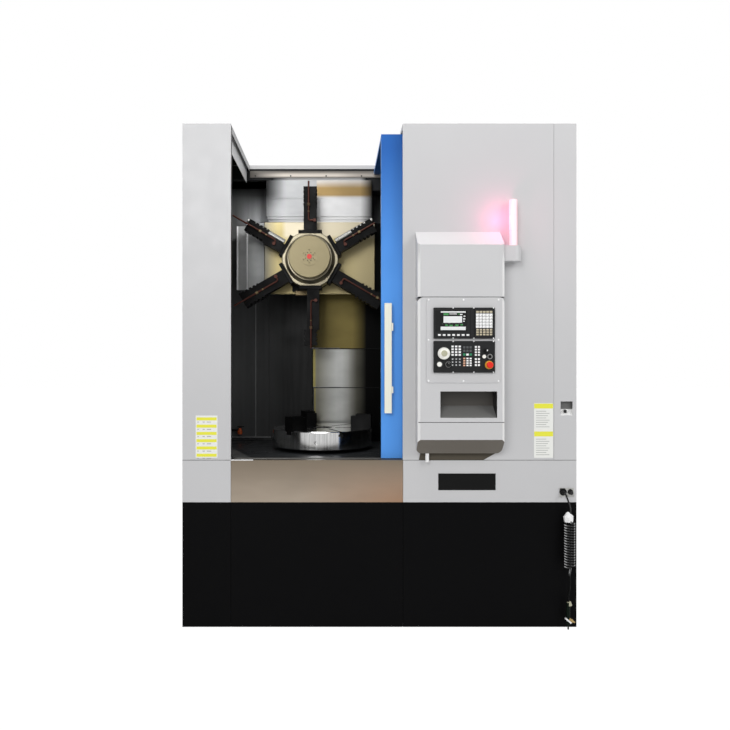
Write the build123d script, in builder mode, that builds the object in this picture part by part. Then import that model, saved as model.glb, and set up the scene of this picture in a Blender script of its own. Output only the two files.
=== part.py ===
from build123d import *
import os
from math import cos, radians, sin, tan

os.makedirs("parts", exist_ok=True)

# Vertical turning centre, millimetres. The front is at -Y, the floor is at z 0,
# and the origin is on the floor under the middle of the enclosure.

# Overall enclosure
WIDTH = 2740
DEPTH = 2300
HEIGHT = 3500
SHEET = 3
RETURN = 30
SEAM = 2
LEFT_X = -WIDTH / 2
RIGHT_X = WIDTH / 2
FRONT_Y = -DEPTH / 2
REAR_Y = DEPTH / 2

# Front divisions
PILLAR_WIDTH = 336
DOORWAY_LEFT_X = LEFT_X + PILLAR_WIDTH
DOORWAY_RIGHT_X = 163
CORNER_WIDTH = 158
CORNER_X = RIGHT_X - CORNER_WIDTH
SKIRT_TOP = 867
SILL_TOP = 1159
PILLAR_DEPTH = 58

# Base and chamber
CASTING_GAP = 35
BED_TOP = 1140
FLOOR_SHEET = 6
FLOOR_TOP = BED_TOP + FLOOR_SHEET
BACK_WALL_Y = 240
SIDE_ROOM = 585
INNER_RIGHT_X = RIGHT_X - SIDE_ROOM
HEAD_ROOM = 120
INNER_TOP = HEIGHT - HEAD_ROOM
WALL_LINE_GAP = 6
POST_INSET = 425
POST_X = LEFT_X + POST_INSET
POST_WIDTH = 45
POST_DEPTH = 15
GUIDE_DEPTH = 880
GUIDE_BACK_WIDTH = 200
GUIDE_FRONT_WIDTH = 499
GUIDE_RISE = 0.16
GUIDE_STOCK = 120

# Door
DOOR_FRONT_GAP = 60
DOOR_THICK = 50
DOOR_OVERLAP = 147
DOOR_LEFT_X = DOORWAY_RIGHT_X - DOOR_OVERLAP
DOOR_SPARE = 43
DOOR_WIDTH = DOORWAY_RIGHT_X - DOORWAY_LEFT_X + DOOR_SPARE
DOOR_FLOOR_GAP = 6
DOOR_BOTTOM = SILL_TOP + DOOR_FLOOR_GAP
DOOR_DROP = 55
DOOR_TOP = HEIGHT - DOOR_DROP
DOOR_RAIL_END = 90
SHOE_WIDTH = 80
SHOE_DEPTH = 10
DOOR_LID_THICK = 25
DOOR_SHEET = 3
RUN_GAP = 0.3
MOVE_GAP = 6
WINDOW_WIDTH = 620
WINDOW_HEIGHT = 900
WINDOW_CENTRE_Z = 2150
WINDOW_FRAME = 35
WINDOW_CORNER = 60
GLASS_THICK = 8
HANDLE_INSET = 46
HANDLE_X = DOOR_LEFT_X + HANDLE_INSET
HANDLE_WIDTH = 52
HANDLE_BOTTOM = 1485
HANDLE_TOP = 2253
HANDLE_REACH = 48
HANDLE_THICK = 16
HANDLE_FOOT = 40
HANDLE_FOOT_INSET = 8
HANDLE_ROUND = 6

# Top opening
NOTCH_DEPTH = 1058
NOTCH_Y = FRONT_Y + NOTCH_DEPTH
NOTCH_LEFT_DROP = 50
NOTCH_REAR_DROP = 31
RAIL_LIFT = 18
RAIL_HEIGHT = 55
RAIL_BOTTOM = INNER_TOP + RAIL_LIFT
RAIL_TOP = RAIL_BOTTOM + RAIL_HEIGHT
RAIL_THICK = 6
BEAM_DEPTH = 60
COVER_BOX_LEFT_X = -850
COVER_BOX_RIGHT_X = 110
COVER_BOX_HEIGHT = 90
COVER_BOX_BOTTOM = INNER_TOP - COVER_BOX_HEIGHT
COVER_BOX_BACK_Y = 100

# Column, saddle and cross slide
COLUMN_X = -206
COLUMN_WIDTH = 900
COLUMN_FRONT_Y = 300
COLUMN_BACK_Y = 1000
COLUMN_DROP = 30
COLUMN_TOP = INNER_TOP - COLUMN_DROP
BOX_WAY_WIDTH = 70
BOX_WAY_HEIGHT = 45
BOX_WAY_OFFSET = 225
BEAM_LEFT_INSET = 231
BEAM_RIGHT_INSET = 95
BEAM_LEFT_X = LEFT_X + BEAM_LEFT_INSET
BEAM_RIGHT_X = INNER_RIGHT_X - BEAM_RIGHT_INSET
SADDLE_DROP = 400
SADDLE_HEIGHT = 531
SADDLE_TOP = INNER_TOP - SADDLE_DROP
SADDLE_BOTTOM = SADDLE_TOP - SADDLE_HEIGHT
SADDLE_FRONT_Y = -92
SADDLE_BEAM_BACK_Y = 120
PLATE_LEFT_X = -905
PLATE_RIGHT_X = 23
PLATE_BELOW = 41
PLATE_ABOVE = 30
PLATE_BOTTOM = SADDLE_BOTTOM - PLATE_BELOW
PLATE_TOP = SADDLE_TOP + PLATE_ABOVE
PLATE_THICK = 30
PLATE_BACK_Y = -120
CARRIAGE_LEFT_X = -620
CARRIAGE_RIGHT_X = -260
CARRIAGE_HEIGHT = 440
CROSS_WAY_HEIGHT = 60
CROSS_WAY_DROP = 160
CROSS_WAY_THICK = 20
TRUCK_GAP = 5
TRUCK_SHORT = 20
PLATE_CHAMFER = 6

# Telescopic way covers
COVER_SHEET = 3
COVER_STEP = 9
LIP_HEIGHT = 14
LOWER_COVER_WIDTH = 613
LOWER_COVER_Y = 100
COVER_LAP = 38
COVER_BAND_DROP = 88
COVER_BAND_HEIGHT = 56
COVER_BAND_PROUD = 5
COVER_DROP = SADDLE_BOTTOM - FLOOR_TOP
TOP_COVER_SHARE = 0.3815
MID_COVER_SHARE = 0.6424
LOWER_TOP_BOTTOM = SADDLE_BOTTOM - TOP_COVER_SHARE * COVER_DROP
LOWER_MID_BOTTOM = SADDLE_BOTTOM - MID_COVER_SHARE * COVER_DROP
LOWER_MID_TOP = LOWER_TOP_BOTTOM + COVER_LAP
LOWER_FIXED_TOP = LOWER_MID_BOTTOM + COVER_LAP
UPPER_COVER_WIDTH = 889
UPPER_COVER_X = -443.5
UPPER_COVER_Y = -130
UPPER_FIXED_LIFT = 80
UPPER_MID_LIFT = 56
UPPER_FIXED_DROP = 16
UPPER_MID_DROP = 25
UPPER_LOW_DROP = 40
UPPER_FIXED_BOTTOM = SADDLE_TOP + UPPER_FIXED_LIFT
UPPER_FIXED_TOP = INNER_TOP - UPPER_FIXED_DROP
UPPER_MID_BOTTOM = SADDLE_TOP + UPPER_MID_LIFT
UPPER_MID_TOP = INNER_TOP - UPPER_MID_DROP
UPPER_LOW_TOP = INNER_TOP - UPPER_LOW_DROP
UPPER_SEAM_DROP = 150
UPPER_SEAM_HEIGHT = 12
UPPER_SEAM_PROUD = 3
CROSS_MID_HEIGHT = 584
UPPER_FOOT_LIFT = 33
CROSS_MID_INSET = 83
LEFT_MID_OUTER_X = BEAM_LEFT_X + CROSS_MID_INSET
LEFT_MID_INNER_X = -640
LEFT_END_INNER_X = -790
RIGHT_MID_INNER_X = 0
CROSS_RIGHT_INSET = 290
CROSS_END_LENGTH = 315
RIGHT_MID_OUTER_X = BEAM_RIGHT_X - CROSS_RIGHT_INSET
RIGHT_END_INNER_X = BEAM_RIGHT_X - CROSS_END_LENGTH

# Spindle and chuck
CHUCK_X = -416
CHUCK_Y = -350
CHUCK_RADIUS = 400
CHUCK_BOTTOM = 1172
CHUCK_TOP = 1313
NOSE_RADIUS = 150
HOUSING_RADIUS = 235
HOUSING_TOP = 1166
HOUSING_CHAMFER = 5
BORE_CLEARANCE = 0.05
JAW_ANGLES = (-8, 112, 232)
T_SLOT_ANGLES = (52, 172, 292)
JAW_RADIUS = 318
JAW_LENGTH = 160
JAW_WIDTH = 85
JAW_HEIGHT = 110
JAW_STEP = 14
JAW_STEP_SHARE = 0.25
JAW_TONGUE_WIDTH = 50
JAW_TONGUE_DEPTH = 30
JAW_SLOT_INNER = 110
T_SLOT_NECK = 22
T_SLOT_HEAD = 38
T_SLOT_DEPTH = 38
T_SLOT_HEAD_HEIGHT = 16
T_SLOT_INNER = 130
CHUCK_CHAMFER = 6
CHUCK_BORE_RADIUS = 80
CHUCK_BORE_DEPTH = 60
CHUCK_KEY_ANGLE = 264
CHUCK_KEY_RADIUS = 13
CHUCK_KEY_DEPTH = 70
CHUCK_KEY_DROP = 80
JAW_BOLT_RADIUS = 11
JAW_BOLT_DEPTH = 25
JAW_BOLT_PITCH = 52

# Turret
TURRET_X = -511
TURRET_RISE = 214
TURRET_Z = SADDLE_BOTTOM + TURRET_RISE
TURRET_FRONT_Y = -400
TURRET_THICK = 150
TURRET_FLATS = 420
TURRET_CORNERS = 452
TURRET_RIM = 6
BOSS_RADIUS = 200
BOSS_LENGTH = 70
CAP_RADIUS = 165
CAP_LENGTH = 80
CAP_CHAMFER = 6
CAP_RIM = 10
CAP_DISC_RADIUS = 70
CAP_DISC_PROUD = 3
BOLT_COUNT = 6
BOLT_CIRCLE = 50
BOLT_RADIUS = 6
BOLT_DEPTH = 10
HUB_RADIUS = 22
HUB_PROUD = 6
HOUSING_BARREL_RADIUS = 180
HOUSING_FLANGE_RADIUS = 225
HOUSING_FLANGE = 25
SHAFT_RADIUS = 60
SHAFT_LENGTH = 60
HOLDER_COUNT = 6
HOLDER_FLANGE_WIDTH = 188
HOLDER_FLANGE = 28
FLANGE_CHAMFER = 4
HOLDER_AXIAL = 130
HOLDER_SETBACK = 10
NOTCH_COUNT = 4
NOTCH_WIDTH = 14
NOTCH_PITCH = 34
NOTCH_CUT = 10
NOTCH_START = 16
# Angle, length from the flat, clamp start, stem offset and width, clamp offset and width
HOLDERS = (
    (90, 380, 228, 0, 104, 0, 108),
    (30, 370, 190, -29, 82, -12, 116),
    (150, 370, 190, 33, 74, 8, 104),
    (210, 425, 250, 12, 108, 14, 126),
    (270, 478, 352, 24, 98, 2, 106),
    (330, 455, 250, -12, 108, -14, 126),
)
# Angle, place of the banjo and of the run across the holder, start, ferrule and tip along it
PIPES = (
    (90, -36, 12, 105, 222, 420),
    (30, -36, -6, 96, 230, 385),
    (150, 34, 4, 105, 240, 505),
    (210, -20, 18, 97, 284, 505),
    (270, 45, 7, 118, 325, 500),
    (330, -40, 4, 100, 400, 470),
)
PIPE_RADIUS = 7
PIPE_GAP = 4
PIPE_BEND = 16
PIPE_FOOT_RADIUS = 4
BANJO_RADIUS = 13
BANJO_PROUD = 5
FERRULE_RADIUS = 12
FERRULE_LENGTH = 24
# Angle and place across the holder
BARS = ((30, 28), (150, -20))
BAR_RADIUS = 23
BAR_SETBACK = 6
BAR_START = 44
BAR_PROUD = 16

# Pendant
PENDANT_LEFT_X = 250
PENDANT_RIGHT_X = 838
PENDANT_PROUD = 150
PENDANT_CHAMFER = 17
FOOT_ROUND = 38
HOOD_TOP = 2746
HOOD_FRONT_TOP = 2635
HOOD_BOTTOM = 2283
BOX_TOP = 2279
FOOT_JOINT = 1435
FOOT_FRONT_BOTTOM = 1317
FOOT_BOTTOM = 1212
FOOT_REAR_PROUD = 40
GROOVE = 4
POCKET_LEFT_X = 402
POCKET_RIGHT_X = 785
POCKET_BOTTOM = 1464
POCKET_TOP = 1644
POCKET_BACK_BOTTOM = 1539
POCKET_DEPTH = 120
PLATE_PROUD = 5
PLATE_CORNER = 22
UNIT_CORNER = 5
LCD_CORNER = 4
CONTROL_LEFT_X = 308
CONTROL_RIGHT_X = 807
CONTROL_BOTTOM = 1702
CONTROL_TOP = 2275
UNIT_LEFT_X = 354
UNIT_RIGHT_X = 766
UNIT_PROUD = 14
SCREEN_BOTTOM = 2000
SCREEN_TOP = 2208
PANEL_BOTTOM = 1771
PANEL_TOP = 1984
LCD_X = 453
LCD_Z = 2115
LCD_WIDTH = 173
LCD_HEIGHT = 135
LCD_RECESS = 5
WHEEL_X = 421
WHEEL_Z = 1900
WHEEL_RADIUS = 40
WHEEL_HEIGHT = 22
KNOB_X = 453
KNOB_Z = 1826
KNOB_RADIUS = 17
KNOB_HEIGHT = 18
STOP_X = 727
STOP_Z = 1823
STOP_RADIUS = 22
STOP_HEIGHT = 22
STOP_TRAVEL = 6
COLLAR_RADIUS = 26
COLLAR_HEIGHT = 8
STEM_RADIUS = 6
END_GAP = 2
TIP_GAP = 1
SPINNER_RADIUS = 7
SPINNER_OFFSET = 28
SPINNER_RISE = 8
KNOB_BAR = 7
KNOB_BAR_INSET = 2
KNOB_BAR_PROUD = 5
STOP_ROUND = 8
GLAND_X = 329
GLAND_RADIUS = 13
GLAND_BOTTOM = 1150

# Stack light
BRACKET_RIGHT_X = 971
BRACKET_BOTTOM = 2532
BRACKET_HEIGHT = 106
BRACKET_TOP = BRACKET_BOTTOM + BRACKET_HEIGHT
BRACKET_PROUD = 106
LIGHT_X = 917
LIGHT_RADIUS = 27
LIGHT_HEIGHT = 320
LIGHT_TOP = BRACKET_TOP + LIGHT_HEIGHT
LIGHT_SECTIONS = 3
LIGHT_GROOVE = 4
LIGHT_GROOVE_DEPTH = 2

# Latch recess and air socket
LATCH_INSET = 27
LATCH_WIDTH = 83
LATCH_RIGHT_X = RIGHT_X - LATCH_INSET
LATCH_LEFT_X = LATCH_RIGHT_X - LATCH_WIDTH
LATCH_BOTTOM = 1471
LATCH_TOP = 1568
LATCH_DEPTH = 26
LOCK_INSET = 32
LOCK_X = LATCH_LEFT_X + LOCK_INSET
LOCK_Z = 1499
LOCK_RADIUS = 12
SOCKET_INSET = 20
SOCKET_WIDTH = 99
FITTING_INSET = 24
SOCKET_RIGHT_X = RIGHT_X - SOCKET_INSET
SOCKET_LEFT_X = SOCKET_RIGHT_X - SOCKET_WIDTH
FITTING_X = SOCKET_LEFT_X + FITTING_INSET
FITTING_PITCH = 50
SOCKET_BOTTOM = 905
SOCKET_TOP = 967
SOCKET_THICK = 6
FITTING_RADIUS = 13
FITTING_LENGTH = 26

# Air hose: a lead from the socket, a curly length and a tail to the gun
HOSE_RADIUS = 6
COIL_RADIUS = 39
COIL_X = RIGHT_X - 69
COIL_Y = FRONT_Y - 62
COIL_TOP = 745
COIL_BOTTOM = 430
GUN_LENGTH = 150
GUN_RADIUS = 13
NOZZLE_RADIUS = 5
NOZZLE_LENGTH = 34
LEAD_ROUTE = (
    (FITTING_X, FRONT_Y - SOCKET_THICK - FITTING_LENGTH, 936),
    (FITTING_X, FRONT_Y - 66, 936),
    (RIGHT_X - 87, FRONT_Y - 84, 898),
    (RIGHT_X - 71, FRONT_Y - 76, 858),
    (RIGHT_X - 62, FRONT_Y - 66, 820),
    (COIL_X, COIL_Y, 782),
    (COIL_X, COIL_Y, COIL_TOP),
)
TAIL_ROUTE = (
    (COIL_X, COIL_Y, COIL_BOTTOM),
    (COIL_X, COIL_Y, 390),
    (RIGHT_X - 65, FRONT_Y - 63, 340),
    (RIGHT_X - 68, FRONT_Y - 62, 286),
    (RIGHT_X - 77, FRONT_Y - 60, 236),
    (RIGHT_X - 77, FRONT_Y - 60, 190),
)


def save(name, part):
    """Label one piece and write it to its own file"""
    part.label = name
    export_step(part, f"parts/{name}.step")


def corner_box(low, high):
    """Box between two corners, added to the part being built"""
    size = [b - a for a, b in zip(low, high)]
    with Locations(low):
        Box(*size, align=(Align.MIN, Align.MIN, Align.MIN))


def folded_panel(low, high, open_side, sheet=SHEET):
    """Sheet panel between two corners, folded back on all edges and open on one side"""
    size = [b - a for a, b in zip(low, high)]
    with BuildPart(mode=Mode.PRIVATE) as panel:
        with Locations(low):
            Box(*size, align=(Align.MIN, Align.MIN, Align.MIN))
        axis, end = open_side
        opening = panel.faces().sort_by(axis)[end]
        offset(amount=-sheet, openings=opening)
    return panel.part


def channel_cover(width, x, front, back, bottom, top, lip_low, lip_reach):
    """Upright way cover: a sheet channel whose lower lip reaches back to the next section"""
    with BuildPart(mode=Mode.PRIVATE) as cover:
        with BuildSketch(Plane.XY.offset(bottom)):
            with Locations((x, (front + back) / 2)):
                Rectangle(width, back - front)
            with Locations((x, (front + COVER_SHEET + back) / 2)):
                Rectangle(width - 2 * COVER_SHEET, back - front - COVER_SHEET, mode=Mode.SUBTRACT)
        extrude(amount=top - bottom)
        if lip_reach > 0:
            lip_y = front + COVER_SHEET
            with Locations((x, lip_y, lip_low)):
                Box(
                    width - 2 * COVER_SHEET,
                    lip_reach,
                    LIP_HEIGHT,
                    align=(Align.CENTER, Align.MIN, Align.MIN),
                )
    return cover.part


# Base casting with a rim for the sheet metal and a seat for the column
with BuildPart() as base_casting:
    corner_box(
        (LEFT_X + 2 * CASTING_GAP, FRONT_Y + 2 * CASTING_GAP, 0),
        (RIGHT_X - 2 * CASTING_GAP, REAR_Y - 2 * CASTING_GAP, SKIRT_TOP),
    )
    corner_box(
        (LEFT_X + CASTING_GAP, FRONT_Y + CASTING_GAP, SKIRT_TOP),
        (RIGHT_X - CASTING_GAP, REAR_Y - CASTING_GAP, BED_TOP),
    )
save("base_casting", base_casting.part)

# Black skirts: three panels in front, one at each side, one behind
SKIRT_SPANS = (
    (LEFT_X, DOORWAY_LEFT_X),
    (DOORWAY_LEFT_X + SEAM, DOORWAY_RIGHT_X),
    (DOORWAY_RIGHT_X + SEAM, RIGHT_X),
)
SIDE_FRONT_Y = FRONT_Y + RETURN
SIDE_REAR_Y = REAR_Y - RETURN - SEAM
with BuildPart() as base_skirts:
    for start, end in SKIRT_SPANS:
        add(folded_panel((start, FRONT_Y, 0), (end, SIDE_FRONT_Y, SKIRT_TOP), (Axis.Y, -1)))
    add(
        folded_panel(
            (LEFT_X, SIDE_FRONT_Y + SEAM, 0), (LEFT_X + RETURN, SIDE_REAR_Y, SKIRT_TOP), (Axis.X, -1)
        )
    )
    add(
        folded_panel(
            (RIGHT_X - RETURN, SIDE_FRONT_Y + SEAM, 0), (RIGHT_X, SIDE_REAR_Y, SKIRT_TOP), (Axis.X, 0)
        )
    )
    add(folded_panel((LEFT_X, REAR_Y - RETURN, 0), (RIGHT_X, REAR_Y, SKIRT_TOP), (Axis.Y, 0)))
save("base_skirts", base_skirts.part)

# Grey aprons left and right of the doorway
with BuildPart() as grey_aprons:
    for start, end in (SKIRT_SPANS[0], SKIRT_SPANS[2]):
        add(folded_panel((start, FRONT_Y, SKIRT_TOP), (end, SIDE_FRONT_Y, SILL_TOP), (Axis.Y, -1)))
save("grey_aprons", grey_aprons.part)

# Stainless apron under the doorway
with BuildPart() as stainless_apron:
    start, end = SKIRT_SPANS[1]
    add(folded_panel((start, FRONT_Y, SKIRT_TOP), (end, SIDE_FRONT_Y, SILL_TOP), (Axis.Y, -1)))
save("stainless_apron", stainless_apron.part)

# Left front pillar, a closed sheet box
PANEL_TOP_Z = HEIGHT - SHEET
PILLAR_BACK_Y = FRONT_Y + PILLAR_DEPTH
with BuildPart() as left_pillar:
    with BuildSketch(Plane.XY.offset(SILL_TOP)) as pillar_ring:
        with Locations(((LEFT_X + DOORWAY_LEFT_X) / 2, (FRONT_Y + PILLAR_BACK_Y) / 2)):
            Rectangle(DOORWAY_LEFT_X - LEFT_X, PILLAR_DEPTH)
        offset(amount=-SHEET, kind=Kind.INTERSECTION, mode=Mode.SUBTRACT)
    extrude(amount=PANEL_TOP_Z - SILL_TOP)
save("left_pillar", left_pillar.part)

# Right front panel
with BuildPart() as front_panel:
    add(
        folded_panel(
            (DOORWAY_RIGHT_X, FRONT_Y, SILL_TOP),
            (CORNER_X, FRONT_Y + RETURN, PANEL_TOP_Z),
            (Axis.Y, -1),
        )
    )
save("front_panel", front_panel.part)

# Corner panel with the opening for the latch recess
with BuildPart() as corner_panel:
    add(
        folded_panel(
            (CORNER_X + SEAM, FRONT_Y, SILL_TOP),
            (RIGHT_X, FRONT_Y + RETURN, PANEL_TOP_Z),
            (Axis.Y, -1),
        )
    )
    with BuildSketch(Plane.XZ.offset(-FRONT_Y)) as latch_opening:
        with Locations(((LATCH_LEFT_X + LATCH_RIGHT_X) / 2, (LATCH_BOTTOM + LATCH_TOP) / 2)):
            Rectangle(LATCH_RIGHT_X - LATCH_LEFT_X, LATCH_TOP - LATCH_BOTTOM)
    extrude(amount=-SHEET, mode=Mode.SUBTRACT)
save("corner_panel", corner_panel.part)

# Side and rear panels above the skirts
REAR_SPLITS = (LEFT_X, LEFT_X + WIDTH / 3, RIGHT_X - WIDTH / 3, RIGHT_X)
with BuildPart() as outer_panels:
    add(
        folded_panel(
            (LEFT_X, PILLAR_BACK_Y, SKIRT_TOP),
            (LEFT_X + RETURN, SIDE_REAR_Y, PANEL_TOP_Z),
            (Axis.X, -1),
        )
    )
    add(
        folded_panel(
            (RIGHT_X - RETURN, SIDE_FRONT_Y + SEAM, SKIRT_TOP),
            (RIGHT_X, SIDE_REAR_Y, PANEL_TOP_Z),
            (Axis.X, 0),
        )
    )
    for start, end in zip(REAR_SPLITS[:-1], REAR_SPLITS[1:]):
        add(
            folded_panel(
                (start + SEAM / 2, REAR_Y - RETURN, SKIRT_TOP),
                (end - SEAM / 2, REAR_Y, PANEL_TOP_Z),
                (Axis.Y, 0),
            )
        )
    corner_box((LEFT_X, SIDE_FRONT_Y + SEAM, SKIRT_TOP), (LEFT_X + SHEET, PILLAR_BACK_Y - SEAM, SILL_TOP))
save("outer_panels", outer_panels.part)

# Roof panels round the open top, with their edges folded down into the opening
with BuildPart() as roof:
    corner_box((LEFT_X, FRONT_Y, PANEL_TOP_Z), (DOORWAY_LEFT_X, NOTCH_Y - SEAM, HEIGHT))
    corner_box(
        (DOORWAY_LEFT_X - SHEET, PILLAR_BACK_Y + SEAM, HEIGHT - NOTCH_LEFT_DROP),
        (DOORWAY_LEFT_X, NOTCH_Y - SEAM, PANEL_TOP_Z),
    )
    corner_box((DOORWAY_RIGHT_X, FRONT_Y, PANEL_TOP_Z), (RIGHT_X, NOTCH_Y - SEAM, HEIGHT))
    corner_box(
        (DOORWAY_RIGHT_X, FRONT_Y + RETURN + SEAM, HEIGHT - NOTCH_REAR_DROP),
        (DOORWAY_RIGHT_X + SHEET, NOTCH_Y - SEAM, PANEL_TOP_Z),
    )
    corner_box((LEFT_X, NOTCH_Y, PANEL_TOP_Z), (RIGHT_X, REAR_Y, HEIGHT))
    corner_box(
        (DOORWAY_LEFT_X, NOTCH_Y, HEIGHT - NOTCH_REAR_DROP),
        (DOORWAY_RIGHT_X, NOTCH_Y + SHEET, PANEL_TOP_Z),
    )
save("roof", roof.part)

# Column with two box ways cast on its front
with BuildPart() as column:
    with BuildSketch(Plane.XY.offset(BED_TOP)) as column_section:
        with Locations((COLUMN_X, (COLUMN_FRONT_Y + COLUMN_BACK_Y) / 2)):
            Rectangle(COLUMN_WIDTH, COLUMN_BACK_Y - COLUMN_FRONT_Y)
        for side in (-1, 1):
            with Locations((COLUMN_X + side * BOX_WAY_OFFSET, COLUMN_FRONT_Y - BOX_WAY_HEIGHT / 2)):
                Rectangle(BOX_WAY_WIDTH, BOX_WAY_HEIGHT)
    extrude(amount=COLUMN_TOP - BED_TOP)
save("column", column.part)

# Chamber floor, cut out round the spindle housing
with BuildPart() as floor_pan:
    corner_box(
        (LEFT_X + CASTING_GAP, FRONT_Y + CASTING_GAP, BED_TOP),
        (INNER_RIGHT_X + SHEET, BACK_WALL_Y, FLOOR_TOP),
    )
    with Locations((CHUCK_X, CHUCK_Y, BED_TOP)):
        Cylinder(HOUSING_RADIUS, FLOOR_SHEET, align=(Align.CENTER, Align.CENTER, Align.MIN), mode=Mode.SUBTRACT)
    with Locations((COLUMN_X, BACK_WALL_Y, BED_TOP)):
        Box(
            LOWER_COVER_WIDTH + 2 * WALL_LINE_GAP,
            2 * SHEET,
            FLOOR_SHEET,
            align=(Align.CENTER, Align.CENTER, Align.MIN),
            mode=Mode.SUBTRACT,
        )
    guide_left_x = LEFT_X + RETURN + SHEET
    guide_back_y = FRONT_Y + GUIDE_DEPTH
    guide_front_y = FRONT_Y + DOOR_FRONT_GAP + DOOR_THICK + MOVE_GAP
    crease_back = (LEFT_X + GUIDE_BACK_WIDTH, guide_back_y)
    crease_front = (LEFT_X + GUIDE_FRONT_WIDTH, guide_front_y)
    crease = Vector(crease_front[0] - crease_back[0], crease_front[1] - crease_back[1], 0).normalized()
    with BuildPart(mode=Mode.PRIVATE) as chip_guide:
        with BuildSketch(Plane.XY.offset(FLOOR_TOP)):
            with BuildLine():
                Polyline(
                    (guide_left_x, guide_back_y),
                    crease_back,
                    crease_front,
                    (guide_left_x, guide_front_y),
                    close=True,
                )
            make_face()
        extrude(amount=GUIDE_STOCK)
        slope = (-GUIDE_RISE * crease.Y, GUIDE_RISE * crease.X, 1)
        split(bisect_by=Plane(origin=(*crease_back, FLOOR_TOP), z_dir=slope), keep=Keep.BOTTOM)
    add(chip_guide.part)
save("floor_pan", floor_pan.part)

# Chamber walls: two behind, one at the right, one at the left behind the pillar
WALL_SLOT_LEFT_X = COLUMN_X - LOWER_COVER_WIDTH / 2 - MOVE_GAP
WALL_SLOT_RIGHT_X = COLUMN_X + LOWER_COVER_WIDTH / 2 + MOVE_GAP
DOOR_BACK_Y = FRONT_Y + DOOR_FRONT_GAP + DOOR_THICK
with BuildPart() as inner_walls:
    corner_box(
        (LEFT_X + RETURN, BACK_WALL_Y - SHEET, FLOOR_TOP), (WALL_SLOT_LEFT_X, BACK_WALL_Y, INNER_TOP)
    )
    corner_box(
        (POST_X, BACK_WALL_Y - SHEET - POST_DEPTH, FLOOR_TOP),
        (POST_X + POST_WIDTH, BACK_WALL_Y - SHEET, INNER_TOP),
    )
    corner_box(
        (WALL_SLOT_RIGHT_X, BACK_WALL_Y - SHEET, FLOOR_TOP), (INNER_RIGHT_X, BACK_WALL_Y, INNER_TOP)
    )
    corner_box(
        (INNER_RIGHT_X, DOOR_BACK_Y + MOVE_GAP, FLOOR_TOP), (INNER_RIGHT_X + SHEET, BACK_WALL_Y, INNER_TOP)
    )
    corner_box(
        (LEFT_X + RETURN, PILLAR_BACK_Y + SEAM, FLOOR_TOP),
        (LEFT_X + RETURN + SHEET, BACK_WALL_Y - SHEET, INNER_TOP),
    )
save("inner_walls", inner_walls.part)

# Door sill with a rail that the door runs on
SILL_BACK_Y = DOOR_BACK_Y + MOVE_GAP
DOOR_MID_Y = FRONT_Y + DOOR_FRONT_GAP + DOOR_THICK / 2
SILL_RAIL_WIDTH = 12
with BuildPart() as door_sill:
    corner_box(
        (DOORWAY_LEFT_X, SIDE_FRONT_Y, FLOOR_TOP), (DOORWAY_RIGHT_X, FRONT_Y + CASTING_GAP, SILL_TOP)
    )
    corner_box(
        (DOORWAY_LEFT_X, FRONT_Y + CASTING_GAP, FLOOR_TOP), (INNER_RIGHT_X, SILL_BACK_Y, SILL_TOP)
    )
    corner_box((INNER_RIGHT_X, FRONT_Y + CASTING_GAP, FLOOR_TOP), (RIGHT_X - CASTING_GAP, SILL_BACK_Y, SILL_TOP))
    corner_box(
        (INNER_RIGHT_X + SHEET, FRONT_Y + CASTING_GAP, BED_TOP),
        (RIGHT_X - CASTING_GAP, SILL_BACK_Y, FLOOR_TOP),
    )
    corner_box(
        (DOORWAY_LEFT_X, DOOR_MID_Y - SILL_RAIL_WIDTH / 2, SILL_TOP),
        (RIGHT_X - 2 * CASTING_GAP, DOOR_MID_Y + SILL_RAIL_WIDTH / 2, DOOR_BOTTOM - RUN_GAP),
    )
save("door_sill", door_sill.part)

# Top beam across the machine, with the cover box under it
BEAM_Y = NOTCH_Y + SHEET + RAIL_THICK
with BuildPart() as top_beam:
    corner_box((LEFT_X + RETURN, BEAM_Y, INNER_TOP), (RIGHT_X - RETURN, BEAM_Y + BEAM_DEPTH, PANEL_TOP_Z))
    corner_box(
        (COVER_BOX_LEFT_X, BEAM_Y, COVER_BOX_BOTTOM), (COVER_BOX_RIGHT_X, COVER_BOX_BACK_Y, INNER_TOP)
    )
save("top_beam", top_beam.part)

# Rail on the beam that steadies the top of the door
with BuildPart() as door_top_rail:
    corner_box(
        (DOORWAY_LEFT_X + SHEET, BEAM_Y - RAIL_THICK, RAIL_BOTTOM),
        (RIGHT_X - 2 * RETURN, BEAM_Y, RAIL_TOP),
    )
save("door_top_rail", door_top_rail.part)

# Fixed sections of the way covers, above and below the saddle
LOWER_FIXED_Y = LOWER_COVER_Y + 2 * COVER_STEP
with BuildPart() as lower_cover_fixed:
    add(
        channel_cover(
            LOWER_COVER_WIDTH - 4 * COVER_STEP,
            COLUMN_X,
            LOWER_FIXED_Y,
            BACK_WALL_Y - SHEET - SEAM,
            FLOOR_TOP,
            LOWER_FIXED_TOP,
            0,
            0,
        )
    )
save("lower_cover_fixed", lower_cover_fixed.part)

LIP_REACH = COVER_STEP - COVER_SHEET - RUN_GAP
with BuildPart() as upper_cover_fixed:
    add(
        channel_cover(
            UPPER_COVER_WIDTH,
            UPPER_COVER_X,
            UPPER_COVER_Y,
            BEAM_Y,
            UPPER_FIXED_BOTTOM,
            UPPER_FIXED_TOP,
            UPPER_FIXED_BOTTOM,
            LIP_REACH,
        )
    )
    with Locations((UPPER_COVER_X, UPPER_COVER_Y, UPPER_FIXED_TOP - UPPER_SEAM_DROP)):
        Box(
            UPPER_COVER_WIDTH,
            UPPER_SEAM_PROUD,
            UPPER_SEAM_HEIGHT,
            align=(Align.CENTER, Align.MAX, Align.MIN),
        )
save("upper_cover_fixed", upper_cover_fixed.part)

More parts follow.
